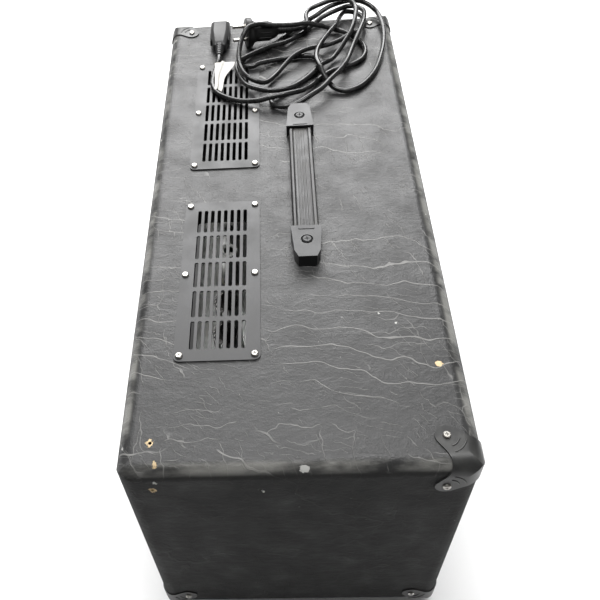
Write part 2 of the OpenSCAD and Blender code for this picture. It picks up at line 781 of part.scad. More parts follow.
module filter_capacitors() {
  color("steelblue") for (x = [-150, -80, 80, 150], y = [-35, 20])
    translate([x - 20, y, board_z - 12]) rotate([0, 90, 0]) cylinder(h = 40, r = 12);
}
module power_valves() {
  color([0.8, 0.85, 0.85, 0.5]) for (i = [0 : 3])
    translate([valve_x(i), valve_y, deck_z + 8.2]) {
      cylinder(h = base_h, r = base_r);
      translate([0, 0, base_h - eps]) cylinder(h = valve_h - valve_r, r = valve_r);
      translate([0, 0, base_h + valve_h - valve_r - eps]) sphere(valve_r);
      translate([0, 0, -8]) cylinder(h = 8 + eps, r = 3.9);
    }
}
module valve_sockets() {
  color("ivory") {
    for (i = [0 : 3]) translate([valve_x(i), valve_y, deck_z]) difference() {
      union() {
        cylinder(h = 3, r = socket_r);
        translate([0, 0, -10]) cylinder(h = 18, r = 14.6);
      }
      cylinder(h = 9, r = 4);
    }
    for (x = preamp_x) translate([x, preamp_y, deck_z]) {
      cylinder(h = 2, r = shield_r + 2);
      translate([0, 0, -8]) cylinder(h = 10, r = 10);
    }
  }
}
module preamp_valves() {
  color([0.8, 0.85, 0.85, 0.5]) for (x = preamp_x) translate([x, preamp_y, deck_z + 2.2]) {
    cylinder(h = preamp_h - preamp_r, r = preamp_r);
    translate([0, 0, preamp_h - preamp_r - eps]) sphere(preamp_r);
  }
}
module valve_shields() {
  color("silver") for (x = preamp_x) translate([x, preamp_y, deck_z + 2]) difference() {
    cylinder(h = shield_h, r = shield_r);
    translate([0, 0, -through]) cylinder(h = shield_h - shield_t + through, r = shield_r - shield_t);
    cylinder(h = shield_h + through, r = 7);
  }
}
// a transformer lying on its laminations: core, two end bells and four feet bolts
module transformer(x, y, w, d, h) {
  bell = 14;
  translate([x, y, deck_z]) {
    box(-w / 2, w / 2, -d / 2, d / 2, 8, h - 6);
    translate([0, 0, 8 + (h - 14) / 2]) rotate([90, 0, 0])
      linear_extrude(d + 2 * bell, center = true) rounded_rect(w - 20, h - 32, 8);
    for (i = [-1, 1], j = [-1, 1])
      translate([i * (w / 2 - 7), j * (d / 2 - 6), 0]) cylinder(h = h - 3, r = 4);
  }
}
module power_transformer() { color([0.1, 0.1, 0.12]) transformer(285, 0, 105, 80, 105); }
module output_transformer() { color([0.1, 0.1, 0.12]) transformer(-290, -20, 90, 70, 90); }
module choke() { color([0.1, 0.1, 0.12]) transformer(-170, -40, 60, 40, 55); }

// ---------------------------------------------------------------- rear

module rear_guard() {
  straight = guard_slot_l - 2 * guard_slot_r;
  color([0.12, 0.12, 0.12]) difference() {
    box(-guard_half, guard_half, guard_y, guard_y + guard_t, guard_z0, guard_z1);
    for (i = [-13 : 13], j = [-1 : 1])
      translate([i * 23, guard_y, guard_mid + j * (guard_slot_l + guard_bridge)]) rotate([-90, 0, 0])
        translate([0, 0, -through]) linear_extrude(guard_t + 2 * through) {
          square([2 * guard_slot_r, straight], center = true);
          for (e = [-1, 1]) translate([0, e * straight / 2]) circle(guard_slot_r);
        }
    for (s = [-1, 1], j = [-1, 0, 1])
      rod_y(s * (in_half - cleat / 2), guard_mid + j * guard_screw_step, pilot_r + seat_gap,
        guard_y - through, guard_y + guard_t + through);
  }
}
module rear_screws() {
  color("silver") for (s = [-1, 1], j = [-1, 0, 1])
    translate([s * (in_half - cleat / 2), guard_y + guard_t, guard_mid + j * guard_screw_step])
      rotate([-90, 0, 0]) pan_screw(pan_r, pan_h, pilot_r, guard_t);
}
module mains_inlet() {
  color([0.05, 0.05, 0.05]) {
    difference() {
      union() {
        box(inlet_x - inlet_w / 2 - inlet_flange - 8, inlet_x + inlet_w / 2 + inlet_flange + 8,
          chassis_y1, chassis_y1 + 2.5,
          rear_mid - inlet_h / 2 - inlet_flange, rear_mid + inlet_h / 2 + inlet_flange);
        box(inlet_x - inlet_w / 2 - 2, inlet_x + inlet_w / 2 + 2, chassis_y1 - 20, chassis_y1 + 1,
          rear_mid - inlet_h / 2 - 2, rear_mid + inlet_h / 2 + 2);
      }
      box(inlet_x - inlet_w / 2, inlet_x + inlet_w / 2,
        chassis_y1 + 2.5 - inlet_deep, chassis_y1 + 2.5 + through,
        rear_mid - inlet_h / 2, rear_mid + inlet_h / 2);
      for (s = [-1, 1]) rod_y(inlet_x + s * 20, rear_mid, 1.8, chassis_y1 - through, chassis_y1 + 4);
    }
    for (p = [[-7, -2], [7, -2], [0, 4]])
      box(inlet_x + p.x - 1, inlet_x + p.x + 1, chassis_y1 + 2.5 - inlet_deep - eps, chassis_y1 - 4,
        rear_mid + p.y - 2, rear_mid + p.y + 2);
  }
}
module fuse_holder() {
  color("black") difference() {
    union() {
      rod_y(fuse_x, rear_mid, fuse_r, chassis_y1 - 32, chassis_y1 + 2.5);
      rod_y(fuse_x, rear_mid, fuse_r + 2, chassis_y1, chassis_y1 + 2.5);
    }
    rod_y(fuse_x, rear_mid, 5 + run_gap, chassis_y1 - 28, chassis_y1 + 2.5 + through);
  }
}
module fuse_cap() {
  color([0.1, 0.1, 0.1]) difference() {
    union() {
      rod_y(fuse_x, rear_mid, 5, chassis_y1 - 20, chassis_y1 + 3);
      rod_y(fuse_x, rear_mid, 7.5, chassis_y1 + 2.5 + fit_gap, chassis_y1 + 10);
    }
    box(fuse_x - 5, fuse_x + 5, chassis_y1 + 8, chassis_y1 + 11, rear_mid - 0.7, rear_mid + 0.7);
  }
}
module rear_jacks() {
  color([0.15, 0.15, 0.15]) for (x = rear_jack_x)
    translate([x, chassis_y1, rear_mid]) rotate([90, 0, 0]) difference() {
      union() {
        translate([0, 0, -3]) cylinder(h = 2.9, r = 8, $fn = 6);
        translate([0, 0, -3]) cylinder(h = steel_t + 5, r = 6);
        translate([-10, -9, steel_t]) cube([20, 18, 22]);
      }
      translate([0, 0, -3 - through]) cylinder(h = 24 + through, r = jack_r);
    }
}

// ---------------------------------------------------------------- mains lead

function unit(v) = v / norm(v);
function at(p, i) = p[min(max(i, 0), len(p) - 1)];
// a smooth curve through four points, from b at t = 0 to c at t = 1
function curve(a, b, c, d, t) =
  0.5 * (2 * b + (c - a) * t + (2 * a - 5 * b + 4 * c - d) * t * t + (3 * b - a - 3 * c + d) * t * t * t);
function smoothed(p, n) = concat(
  [for (i = [0 : len(p) - 2], k = [0 : n - 1]) curve(at(p, i - 1), p[i], p[i + 1], at(p, i + 2), k / n)],
  [p[len(p) - 1]]
);
function tangents(q) = [for (i = [0 : len(q) - 1]) unit(at(q, i + 1) - at(q, i - 1))];
// side directions that turn with the line and never twist
function sides(t) = [
  for (i = 0, s = unit(cross(t[0], [0, 0, 1])); i < len(t);
    i = i + 1, s = i < len(t) ? unit(s - (s * t[i]) * t[i]) : s) s
];
module tube(p, r, n, steps) {
  q = smoothed(p, steps);
  t = tangents(q);
  s = sides(t);
  rings = [
    for (i = [0 : len(q) - 1], k = [0 : n - 1])
      q[i] + r * (cos(360 * k / n) * s[i] + sin(360 * k / n) * cross(t[i], s[i]))
  ];
  last = (len(q) - 1) * n;
  faces = concat(
    [[for (k = [0 : n - 1]) k]],
    [for (i = [0 : len(q) - 2], k = [0 : n - 1])
      [i * n + k, (i + 1) * n + k, (i + 1) * n + (k + 1) % n, i * n + (k + 1) % n]],
    [[for (k = [n - 1 : -1 : 0]) last + k]]
  );
  polyhedron(rings, faces, convexity = 20);
}
module mains_cord() {
  color([0.05, 0.05, 0.05]) translate([0, 0, lid_z]) tube(LEAD, cord_r, lead_sides, lead_steps);
}
// the moulded socket that fits the inlet, its mouth towards +x and its relief towards the cord
module cord_connector() {
  w = conn_w / 2;
  h = conn_h / 2;
  color([0.08, 0.08, 0.08]) translate([conn_x, conn_y, lid_z + conn_mid]) difference() {
    union() {
      translate([relief_l, 0, 0]) rotate([90, 0, 90]) linear_extrude(conn_l)
        polygon([[-w, -h], [w, -h], [w, h / 2], [w - 5, h], [5 - w, h], [-w, h / 2]]);
      rotate([0, 90, 0]) cylinder(h = relief_l + eps, r1 = cord_r + relief_end, r2 = relief_r);
    }
    for (p = [[-7, -2], [7, -2], [0, 4]])
      translate([relief_l + conn_l - 15, p.x - 1.2, p.y - 2.2]) cube([15 + through, 2.4, 4.4]);
  }
}
module plug_frame() {
  translate([plug_face.x, plug_face.y, lid_z + plug_face.z]) rotate([plug_tilt, 0, plug_turn]) children();
}
// the moulded plug: a round face, a waist and a relief
module cord_plug() {
  color([0.08, 0.08, 0.08]) plug_frame() rotate([90, 0, 0]) rotate_extrude() polygon([
    [0, 0], [plug_r, 0], [plug_r, 8], [plug_waist + 1, 14], [plug_waist, 30],
    [plug_waist - 2.5, plug_l], [relief_r - 0.5, plug_l + 2],
    [cord_r + relief_end, plug_l + plug_tail], [0, plug_l + plug_tail]
  ]);
}
module plug_pins() {
  color("silver") plug_frame() for (s = [-1, 1])
    translate([0, 0, s * pin_gap / 2]) rotate([-90, 0, 0]) {
      cylinder(h = pin_l - pin_r, r = pin_r);
      translate([0, 0, pin_l - pin_r]) sphere(pin_r);
    }
}
// a paper label that lies over the lead beside its connector
module paper_tag() {
  color("white") translate([0, 0, lid_z + tag_up]) linear_extrude(0.6)
    polygon([[212, 90], [234, 88], [240, 80], [238, 67], [226, 66], [208, 73], [183, 80], [183, 88]]);
}

// ---------------------------------------------------------------- nodes

top_board();
bottom_board();
left_board();
right_board();
cleats();
vinyl_covering();
corner_protectors();
corner_screws();
rubber_feet();
foot_screws();
vent_grille_left();
vent_grille_right();
vent_screws();
handle_cap_left();
handle_cap_right();
handle_screws();
strap_left();
strap_right();
baffle_board();
grille_cloth();
front_piping();
front_rail();
control_panel();
chassis();
chassis_bolts();
circuit_board();
filter_capacitors();
potentiometers();
knob(0);  // knob_1
knob(1);  // knob_2
knob(2);  // knob_3
knob(3);  // knob_4
knob(4);  // knob_5
knob(5);  // knob_6
knob(6);  // knob_7
knob(7);  // knob_8
input_jacks();
switch_housings();
power_rocker();
standby_rocker();
channel_button();
pilot_lamp();
power_valves();
valve_sockets();
preamp_valves();
valve_shields();
power_transformer();
output_transformer();
choke();
rear_guard();
rear_screws();
mains_inlet();
fuse_holder();
fuse_cap();
rear_jacks();
mains_cord();
cord_connector();
cord_plug();
plug_pins();
paper_tag();
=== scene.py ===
# %% [markdown]
# # A valve amplifier head with its mains lead on the lid
# The cabinet, chassis and every part that carries or turns something come ready made from the CAD
# model. This lesson gives them their finishes, and models what a drawing can't: the loose lead, the
# ribbed strap, the moulded plugs, the glass and plates inside the valves and the worn edges, whose
# lighter colour is partly a painted highlight.

# %% Load the CAD model
import json
import math

import bpy
from mathutils import Matrix, Vector

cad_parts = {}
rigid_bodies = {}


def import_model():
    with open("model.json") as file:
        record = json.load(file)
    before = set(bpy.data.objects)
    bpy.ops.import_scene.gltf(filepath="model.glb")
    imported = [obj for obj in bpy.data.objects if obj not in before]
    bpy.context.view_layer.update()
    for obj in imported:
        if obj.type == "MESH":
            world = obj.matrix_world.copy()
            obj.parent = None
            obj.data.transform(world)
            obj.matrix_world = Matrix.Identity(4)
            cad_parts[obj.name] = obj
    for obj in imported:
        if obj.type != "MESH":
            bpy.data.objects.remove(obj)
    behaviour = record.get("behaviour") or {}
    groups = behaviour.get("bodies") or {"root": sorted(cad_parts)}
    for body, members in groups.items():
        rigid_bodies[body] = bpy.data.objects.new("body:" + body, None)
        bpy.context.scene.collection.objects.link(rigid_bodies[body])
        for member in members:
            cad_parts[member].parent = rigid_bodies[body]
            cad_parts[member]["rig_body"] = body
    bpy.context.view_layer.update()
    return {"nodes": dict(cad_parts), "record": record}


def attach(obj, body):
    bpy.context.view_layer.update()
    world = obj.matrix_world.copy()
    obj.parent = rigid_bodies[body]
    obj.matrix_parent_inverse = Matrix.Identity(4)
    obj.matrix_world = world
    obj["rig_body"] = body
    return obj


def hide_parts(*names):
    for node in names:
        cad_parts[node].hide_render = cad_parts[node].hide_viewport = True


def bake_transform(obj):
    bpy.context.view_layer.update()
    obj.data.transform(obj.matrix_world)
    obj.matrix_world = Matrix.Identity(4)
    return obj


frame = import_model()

MM = 0.001
LID = 338            # height of the lid in millimetres
scene = bpy.context.scene

# %% [markdown]
# ## The camera
# We look down on one end of the cabinet from a little above head height. The lens is a normal one, and
# its view is shifted to the side and up, as happens when a larger picture is trimmed to a square.
# The camera is set by three directions of its own: right, down and forward.

# %% Camera
lens_data = bpy.data.cameras.new("camera")
lens_data.sensor_width = 36
lens_data.lens = 43.583
lens_data.shift_x = 0.0932
lens_data.shift_y = 0.0808
camera = bpy.data.objects.new("camera", lens_data)
scene.collection.objects.link(camera)
cam_right = Vector((0.010152, -0.997974, -0.062810))
cam_down = Vector((-0.788505, 0.030639, -0.614265))
cam_forward = Vector((0.614945, 0.055763, -0.786596))
camera.matrix_world = (
    Matrix.Translation((-0.6643, 0.0077, 0.8814))
    @ Matrix((cam_right, -cam_down, -cam_forward)).transposed().to_4x4()
)
scene.camera = camera
print("camera at", tuple(round(c, 3) for c in camera.location))

# %% [markdown]
# ## Small helpers
# Operators work on whatever is selected, and a freshly loaded model is selected all over. So every
# helper starts by selecting nothing. `lathe` is the one used most: it starts from a disc, then
# extrudes and resizes it ring by ring, as a turner would cut a profile.

# %% Selection and placing
def nothing_selected():
    if bpy.context.object and bpy.context.object.mode != "OBJECT":
        bpy.ops.object.mode_set(mode="OBJECT")
    bpy.ops.object.select_all(action="DESELECT")


def only(obj):
    nothing_selected()
    obj.select_set(True)
    bpy.context.view_layer.objects.active = obj
    return obj


def settle(obj):
    """Puts the object's place, turn and size into its mesh."""
    only(obj)
    bpy.ops.object.transform_apply(location=True, rotation=True, scale=True)
    return obj


def named(name):
    obj = bpy.context.object
    obj.name = obj.data.name = name
    return obj


def smooth(obj, degrees=35):
    only(obj)
    bpy.ops.object.shade_smooth_by_angle(angle=math.radians(degrees))
    return obj


def place(obj, at, towards=(0, 0, 1), turn=0):
    """Moves a piece made at the origin: its z axis then points towards the given direction."""
    aim = Vector(towards).to_track_quat("Z", "Y").to_matrix().to_4x4()
    obj.matrix_world = Matrix.Translation(Vector(at) * MM) @ aim @ Matrix.Rotation(turn, 4, "Z")
    return settle(obj)


def twin(obj, move=(0, 0, 0)):
    """A copy with its own mesh, moved by so many millimetres."""
    copy = obj.copy()
    copy.data = obj.data.copy()
    scene.collection.objects.link(copy)
    copy.data.transform(Matrix.Translation(Vector(move) * MM))
    return copy


def join(name, objects):
    nothing_selected()
    for obj in objects:
        obj.select_set(True)
    bpy.context.view_layer.objects.active = objects[0]
    if len(objects) > 1:
        bpy.ops.object.join()
    return named(name)


# %% Turned and cut shapes
def lathe(name, rings, sides=32):
    """Turns a closed form from (radius, height) pairs in millimetres."""
    nothing_selected()
    radius, height = rings[0]
    bpy.ops.mesh.primitive_circle_add(
        vertices=sides, radius=radius * MM, fill_type="NGON", location=(0, 0, height * MM))
    obj = settle(named(name))
    bpy.ops.object.mode_set(mode="EDIT")
    bpy.ops.mesh.select_all(action="SELECT")
    for (r0, z0), (r1, z1) in zip(rings, rings[1:]):
        bpy.ops.mesh.extrude_region_move(TRANSFORM_OT_translate={"value": (0, 0, (z1 - z0) * MM)})
        bpy.ops.transform.resize(value=(r1 / r0, r1 / r0, 1))
    bpy.ops.mesh.select_all(action="SELECT")
    bpy.ops.mesh.normals_make_consistent(inside=False)
    bpy.ops.object.mode_set(mode="OBJECT")
    return smooth(obj)


def block(name, low, high, round_by=0.4, steps=2):
    """A box between two corners in millimetres, with its edges rounded."""
    nothing_selected()
    low, high = Vector(low), Vector(high)
    bpy.ops.mesh.primitive_cube_add(size=1, location=(low + high) / 2 * MM)
    obj = named(name)
    obj.scale = (high - low) * MM
    settle(obj)
    bpy.ops.object.mode_set(mode="EDIT")
    bpy.ops.mesh.select_all(action="SELECT")
    if round_by:
        bpy.ops.mesh.bevel(offset=round_by * MM, segments=steps, affect="EDGES")
    bpy.ops.object.mode_set(mode="OBJECT")
    return smooth(obj)


def finish_modifiers(obj):
    only(obj)
    for modifier in list(obj.modifiers):
        bpy.ops.object.modifier_apply(modifier=modifier.name)
    return obj


def softened(name, node, round_by, steps=2, degrees=30):
    """A merged copy of a CAD node with its sharp edges rounded; the node itself stays as it is."""
    source = frame["nodes"][node]
    obj = source.copy()
    obj.data = source.data.copy()
    obj.parent = None
    obj.matrix_world = Matrix.Identity(4)
    for key in list(obj.keys()):
        del obj[key]
    scene.collection.objects.link(obj)
    obj.name = obj.data.name = name
    only(obj)
    bpy.ops.mesh.customdata_custom_splitnormals_clear()
    bpy.ops.object.mode_set(mode="EDIT")
    bpy.ops.mesh.select_all(action="SELECT")
    bpy.ops.mesh.remove_doubles(threshold=0.00001)
    bpy.ops.mesh.dissolve_limited(angle_limit=math.radians(2))
    bpy.ops.object.mode_set(mode="OBJECT")
    bevel = obj.modifiers.new("rounding", "BEVEL")
    bevel.width = round_by * MM
    bevel.segments = steps
    bevel.limit_method = "ANGLE"
    bevel.angle_limit = math.radians(degrees)
    bevel.use_clamp_overlap = True
    bevel.harden_normals = False
    finish_modifiers(obj)
    smooth(obj, 50)
    # big flat faces keep their own direction, so that only the small bevels turn the light
    flat = obj.modifiers.new("flat_faces", "WEIGHTED_NORMAL")
    flat.keep_sharp = True
    flat.weight = 100
    return finish_modifiers(obj)


# %% [markdown]
# ## The mains lead
# The lead is one length of round rubber cable, thrown down in loops that lie over each other and over
# its own plug. A curve is the natural tool: its bevel gives an even diameter all the way. The
# route's points are those of the CAD model, and a smooth line is laid through them.

# %% The lead's route, millimetres above the lid
ROUTE = [
    (264, 85, 10), (252, 85, 9), (240, 88, 6.5), (222, 91, 5.2), (202, 92, 5.2), (182, 86, 5.4),
    (168, 72, 5.6), (159, 55, 6), (153, 34, 9), (152, 14, 14), (156, -6, 15), (168, -24, 11),
    (186, -37, 6), (206, -50, 4), (222, -68, 4), (232, -90, 4), (244, -106, 4), (262, -114, 4),
    (280, -113, 4), (298, -105, 4), (315, -90, 5), (325, -72, 6), (321, -56, 13), (315, -36, 21),
    (305, -14, 25), (298, 13, 30), (291, 31, 36), (280, 44, 38), (267, 52, 31), (247, 56, 25),
    (226, 56, 20), (206, 50, 16), (196, 38, 12), (197, 23, 7), (214, 10, 5), (234, -3, 7),
    (252, -18, 11), (266, -37, 11.5), (277, -58, 8), (287, -78, 8), (297, -95, 11), (309, -110, 10.5),
    (328, -119, 9), (348, -117, 8.5), (363, -107, 7.5), (367, -94, 7), (352, -86, 8), (325, -79, 13),
    (296, -66, 16), (270, -55, 18), (249, -48, 18.5), (229, -46, 19), (208, -50, 18), (192, -57, 11),
    (179, -66, 6), (173, -80, 4), (179, -96, 4), (194, -110, 4), (220, -124, 4), (252, -134, 4),
    (290, -142, 4), (324, -144, 7), (357, -139, 9), (371, -124, 16), (372, -103, 21), (371, -74, 15),
    (358, -49, 7), (339, -25, 5), (320, -9, 4), (301, 3, 4), (286, 20, 4), (272, 40, 4.5),
    (256, 52, 5.5), (241, 52, 6), (237, 40, 6.5), (243, 29, 7.5), (255, 6, 4), (260, -18, 4),
    (260, -38, 4), (250, -52, 4), (234, -52, 4), (216, -38, 4), (196, -20, 4), (176, 0, 5),
    (162, 14, 5), (148, 12, 5), (142, -2, 6), (145, -18, 8), (154, -34, 12), (167, -50, 14),
    (184, -62, 15.5), (204, -74, 14), (230, -86, 12), (258, -95, 12), (290, -107, 18), (321, -116, 18),
    (348, -119, 16), (364, -113, 14), (369, -98, 14), (359, -78, 13), (350, -59, 9), (334, -42, 4.5),
    (315, -26, 4), (295, -6, 6), (280, 14, 10), (265, 32, 12), (252, 46, 13), (240, 58, 13),
    (224, 60, 12), (208, 55, 9), (192, 47, 8), (178, 35, 11), (168, 17, 13), (172, -8, 13),
    (188, -26, 12), (208, -40, 11), (226, -52, 11), (250, -70, 6), (276, -88, 15), (296, -98, 21),
    (320, -104, 25), (345, -106, 26), (361, -96, 28), (371, -78, 24), (371, -58, 18), (364, -43, 15),
    (348, -37, 15), (332, -38, 13), (321, -33, 12), (317.3, -21.5, 12.9),
]


def through_four(a, b, c, d, t):
    return 0.5 * (
        2 * b + (c - a) * t + (2 * a - 5 * b + 4 * c - d) * t * t + (3 * b - a - 3 * c + d) * t ** 3)


def smooth_line(points, steps):
    last = len(points) - 1
    line = []
    for i in range(last):
        around = [points[min(max(i + k, 0), last)] for k in (-1, 0, 1, 2)]
        line += [through_four(*around, k / steps) for k in range(steps)]
    return line + [points[last]]


lead_line = [
    (p + Vector((0, 0, LID))) * MM for p in smooth_line([Vector(p) for p in ROUTE], 5)]

# %% The lead as a bevelled curve
CORD_R = 3.3
lead_curve = bpy.data.curves.new("mains_lead", "CURVE")
lead_curve.dimensions = "3D"
lead_curve.bevel_depth = CORD_R * MM
lead_curve.bevel_resolution = 4
lead_curve.use_fill_caps = True
spline = lead_curve.splines.new("POLY")
spline.points.add(len(lead_line) - 1)
for point, place_at in zip(spline.points, lead_line):
    point.co = (*place_at, 1)
lead = bpy.data.objects.new("mains_lead", lead_curve)
scene.collection.objects.link(lead)
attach(lead, "cabinet")
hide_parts("mains_cord")

# %% [markdown]
# ## The plug and the connector
# Both ends are moulded on. The plug is a round one for an earthed socket: a thick disc that carries two
# pins, a waist for the fingers, and a ribbed relief that keeps the cable from kinking. It is turned
# like the real mould. The connector is a block with chamfered upper corners, made from a cube whose
# end nearer the cord is narrowed.

# %% Ribbed strain relief, used on both ends
def relief_rings(start, length, thick, thin, ribs):
    """(radius, height) pairs of a tapering relief with grooves between its ribs."""
    rings = []
    step = length / ribs
    for i in range(ribs):
        radius = thick + (thin - thick) * i / (ribs - 1)
        base = start + i * step
        rings += [(radius, base), (radius, base + step * 0.62),
                  (radius - 0.9, base + step * 0.72), (radius - 0.9, base + step * 0.95)]
    return rings + [(thin, start + length - 0.4), (thin - 0.5, start + length)]


PLUG_FACE = Vector((300, 48, LID + 20))
plug_tilt = math.radians(5.7)
plug_turn = math.radians(14)
plug_back = Vector((
    math.cos(plug_tilt) * math.sin(plug_turn),
    -math.cos(plug_tilt) * math.cos(plug_turn),
    -math.sin(plug_tilt)))

# %% Plug body
plug_body = lathe("plug_body", [
    (17.2, 0.0), (18.4, 0.5), (18.9, 1.6), (18.9, 6.6), (18.3, 7.8), (15.4, 9.6), (13.6, 12.0),
    (12.7, 15.0), (12.0, 19.0), (11.9, 24.0), (11.9, 31.0), (11.2, 36.0), (9.8, 41.0), (8.0, 44.0),
    (6.6, 45.4)] + relief_rings(46, 26, 5.8, 4.2, 7), sides=48)
place(plug_body, PLUG_FACE, plug_back)
grips = []
for side in range(10):
    grip = block("grip", (-0.7, 11.2, 16), (0.7, 12.7, 34), 0.3)
    grip.matrix_world = Matrix.Rotation(math.radians(36 * side), 4, "Z")
    settle(grip)
    grips.append(place(grip, PLUG_FACE, plug_back))
plug_grips = join("plug_grips", grips)

# %% Plug pins
PIN_GAP = 19
pins = []
for side in (-1, 1):
    pin = lathe("pin", [(2.4, 0), (2.4, 16.4), (2.2, 17.8), (1.6, 18.6), (0.7, 19.0)], 24)
    pins.append(place(pin, PLUG_FACE + Vector((0, 0, side * PIN_GAP / 2)), -plug_back))
    sleeve = lathe("sleeve", [(3.4, 0), (3.4, 0.8), (2.9, 1.4)], 24)
    pins.append(place(sleeve, PLUG_FACE + Vector((0, 0, side * PIN_GAP / 2)), -plug_back))
plug_pins = join("plug_pin_pair", pins)
for piece, node, slot in ((plug_body, "cord_plug", "plug_plastic"), (plug_pins, "plug_pins", "plated_steel")):
    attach(piece, "cabinet")
    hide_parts(node)
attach(plug_grips, "cabinet")

# %% Connector body
CONN = Vector((262, 85, LID + 10))
nothing_selected()
bpy.ops.mesh.primitive_cube_add(size=1)
connector = named("connector_body")
connector.scale = (58 * MM, 27 * MM, 19 * MM)
connector.location = (CONN + Vector((22 + 29, 0, 0))) * MM
settle(connector)
bpy.ops.object.mode_set(mode="EDIT")
bpy.ops.mesh.select_all(action="DESELECT")
bpy.ops.object.mode_set(mode="OBJECT")
for edge in connector.data.edges:
    ends = [connector.data.vertices[v].co for v in edge.vertices]
    edge.select = all(e.z > (LID + 12) * MM for e in ends) and abs(ends[0].y - ends[1].y) < 0.001
bpy.ops.object.mode_set(mode="EDIT")
bpy.ops.mesh.select_mode(type="EDGE")
bpy.ops.mesh.bevel(offset=5 * MM, segments=1, affect="EDGES")
bpy.ops.mesh.select_all(action="SELECT")
bpy.ops.mesh.subdivide(number_cuts=1)
bpy.ops.mesh.select_all(action="DESELECT")
bpy.ops.object.mode_set(mode="OBJECT")
# the end nearer the cord narrows, as fingers expect
for vertex in connector.data.vertices:
    along = (vertex.co.x / MM - CONN.x - 22) / 58
    if along < 0.1:
        vertex.co.y = CONN.y * MM + (vertex.co.y - CONN.y * MM) * 0.62
        vertex.co.z = CONN.z * MM + (vertex.co.z - CONN.z * MM) * 0.68
rounding = connector.modifiers.new("rounding", "BEVEL")
rounding.width = 1.1 * MM
rounding.segments = 3
rounding.angle_limit = math.radians(18)
finish_modifiers(connector)
smooth(connector)

# %% Connector details: grip ribs and relief
details = []
for i in range(6):
    for side in (-1, 1):
        details.append(block(
            "rib", (CONN.x + 36 + 3.4 * i, CONN.y + side * 12.6 - 1.0, CONN.z - 6),
            (CONN.x + 37.4 + 3.4 * i, CONN.y + side * 12.6 + 1.0, CONN.z + 3), 0.4))
connector_relief = lathe("connector_relief", relief_rings(-24, 24, 4.2, 6.4, 6), 32)
place(connector_relief, CONN + Vector((24, 0, 0)), (1, 0, 0))
connector_ribs = join("connector_ribs", details)
for piece in (connector, connector_relief, connector_ribs):
    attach(piece, "cabinet")
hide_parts("cord_connector")

# %% Connector mouth
mouth = []
for y, z in ((-7, -2), (7, -2), (0, 4)):
    mouth.append(block(
        "contact", (CONN.x + 79.4, CONN.y + y - 1.2, CONN.z + z - 2.2),
        (CONN.x + 80.2, CONN.y + y + 1.2, CONN.z + z + 2.2), 0.1, 1))
contacts = join("connector_contacts", mouth)
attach(contacts, "cabinet")

# %% [markdown]
# ## The paper label
# A strip of white paper is folded over the cable beside the connector, and its loose end lies across
# the vent. Paper bends in one direction at a time, so a grid is bent down over the cable and creased,
# then given the thickness of a card.

# %% Paper label
LOW_EDGE = (Vector((183, 88)), Vector((243, 90)))     # along the side nearer the rear
HIGH_EDGE = (Vector((184, 80)), Vector((250, 62)))
nothing_selected()
bpy.ops.mesh.primitive_grid_add(x_subdivisions=40, y_subdivisions=24, size=1)
tag = named("paper_label")
for vertex in tag.data.vertices:
    u, v = vertex.co.x + 0.5, vertex.co.y + 0.5
    low = LOW_EDGE[0].lerp(LOW_EDGE[1], u)
    high = HIGH_EDGE[0].lerp(HIGH_EDGE[1], u) + Vector((0, 4.5 * math.sin(math.pi * u) ** 2))
    spot = low.lerp(high, v)
    fold = 2.4 * math.exp(-((v - 0.38) / 0.07) ** 2)
    drape = 8.6 - 3.6 * v * v + 1.6 * u * u
    ripple = 0.35 * math.sin(8 * u + 5 * v)
    vertex.co = Vector((spot.x, spot.y, LID + drape + fold + ripple)) * MM
card = tag.modifiers.new("card", "SOLIDIFY")
card.thickness = 0.25 * MM
finish_modifiers(tag)
smooth(tag, 60)
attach(tag, "cabinet")
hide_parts("paper_tag")

# %% [markdown]
# ## Making finishes
# Every finish is a small network of nodes. `node` adds one and joins it up, so that a network reads
# from top to bottom. All patterns are laid in object space, in metres: a scale of 400 means a
# pattern that repeats every two or three millimetres.

# %% Node helpers
def new_finish(name):
    finish = bpy.data.materials.new(name)
    finish.use_nodes = True
    return finish


def shader(finish):
    return finish.node_tree.nodes["Principled BSDF"]


def node(finish, kind, inputs=None, **settings):
    made = finish.node_tree.nodes.new(kind)
    for key, value in settings.items():
        setattr(made, key, value)
    for key, value in (inputs or {}).items():
        if isinstance(value, bpy.types.NodeSocket):
            finish.node_tree.links.new(value, made.inputs[key])
        else:
            made.inputs[key].default_value = value
    return made


def space(finish, scale=(1, 1, 1), turn=(0, 0, 0), move=(0, 0, 0)):
    """Object coordinates, stretched, turned and moved."""
    coords = node(finish, "ShaderNodeTexCoord").outputs["Object"]
    return node(finish, "ShaderNodeMapping", {
        "Vector": coords, "Scale": scale, "Rotation": turn, "Location": move}).outputs["Vector"]


def noise(finish, at, scale, detail=4, roughness=0.55, distortion=0):
    return node(finish, "ShaderNodeTexNoise", {
        "Vector": at, "Scale": scale, "Detail": detail, "Roughness": roughness,
        "Distortion": distortion}).outputs["Fac"]


def between(finish, value, low, high, to_low=0.0, to_high=1.0):
    """Maps a range smoothly onto another."""
    return node(finish, "ShaderNodeMapRange", {
        "Value": value, "From Min": low, "From Max": high, "To Min": to_low, "To Max": to_high},
        interpolation_type="SMOOTHSTEP").outputs["Result"]


def calc(finish, operation, a, b=0.0):
    return node(finish, "ShaderNodeMath", {0: a, 1: b}, operation=operation).outputs[0]


def blend(finish, amount, a, b):
    """Mixes two colours."""
    mix = node(finish, "ShaderNodeMix", {"Factor": amount}, data_type="RGBA")
    for socket, colour in ((mix.inputs[6], a), (mix.inputs[7], b)):
        if isinstance(colour, bpy.types.NodeSocket):
            finish.node_tree.links.new(colour, socket)
        else:
            socket.default_value = (*colour, 1)
    return mix.outputs[2]


def relief(finish, height, depth, strength=1.0, under=None):
    inputs = {"Height": height, "Distance": depth, "Strength": strength}
    if under is not None:
        inputs["Normal"] = under
    return node(finish, "ShaderNodeBump", inputs).outputs["Normal"]


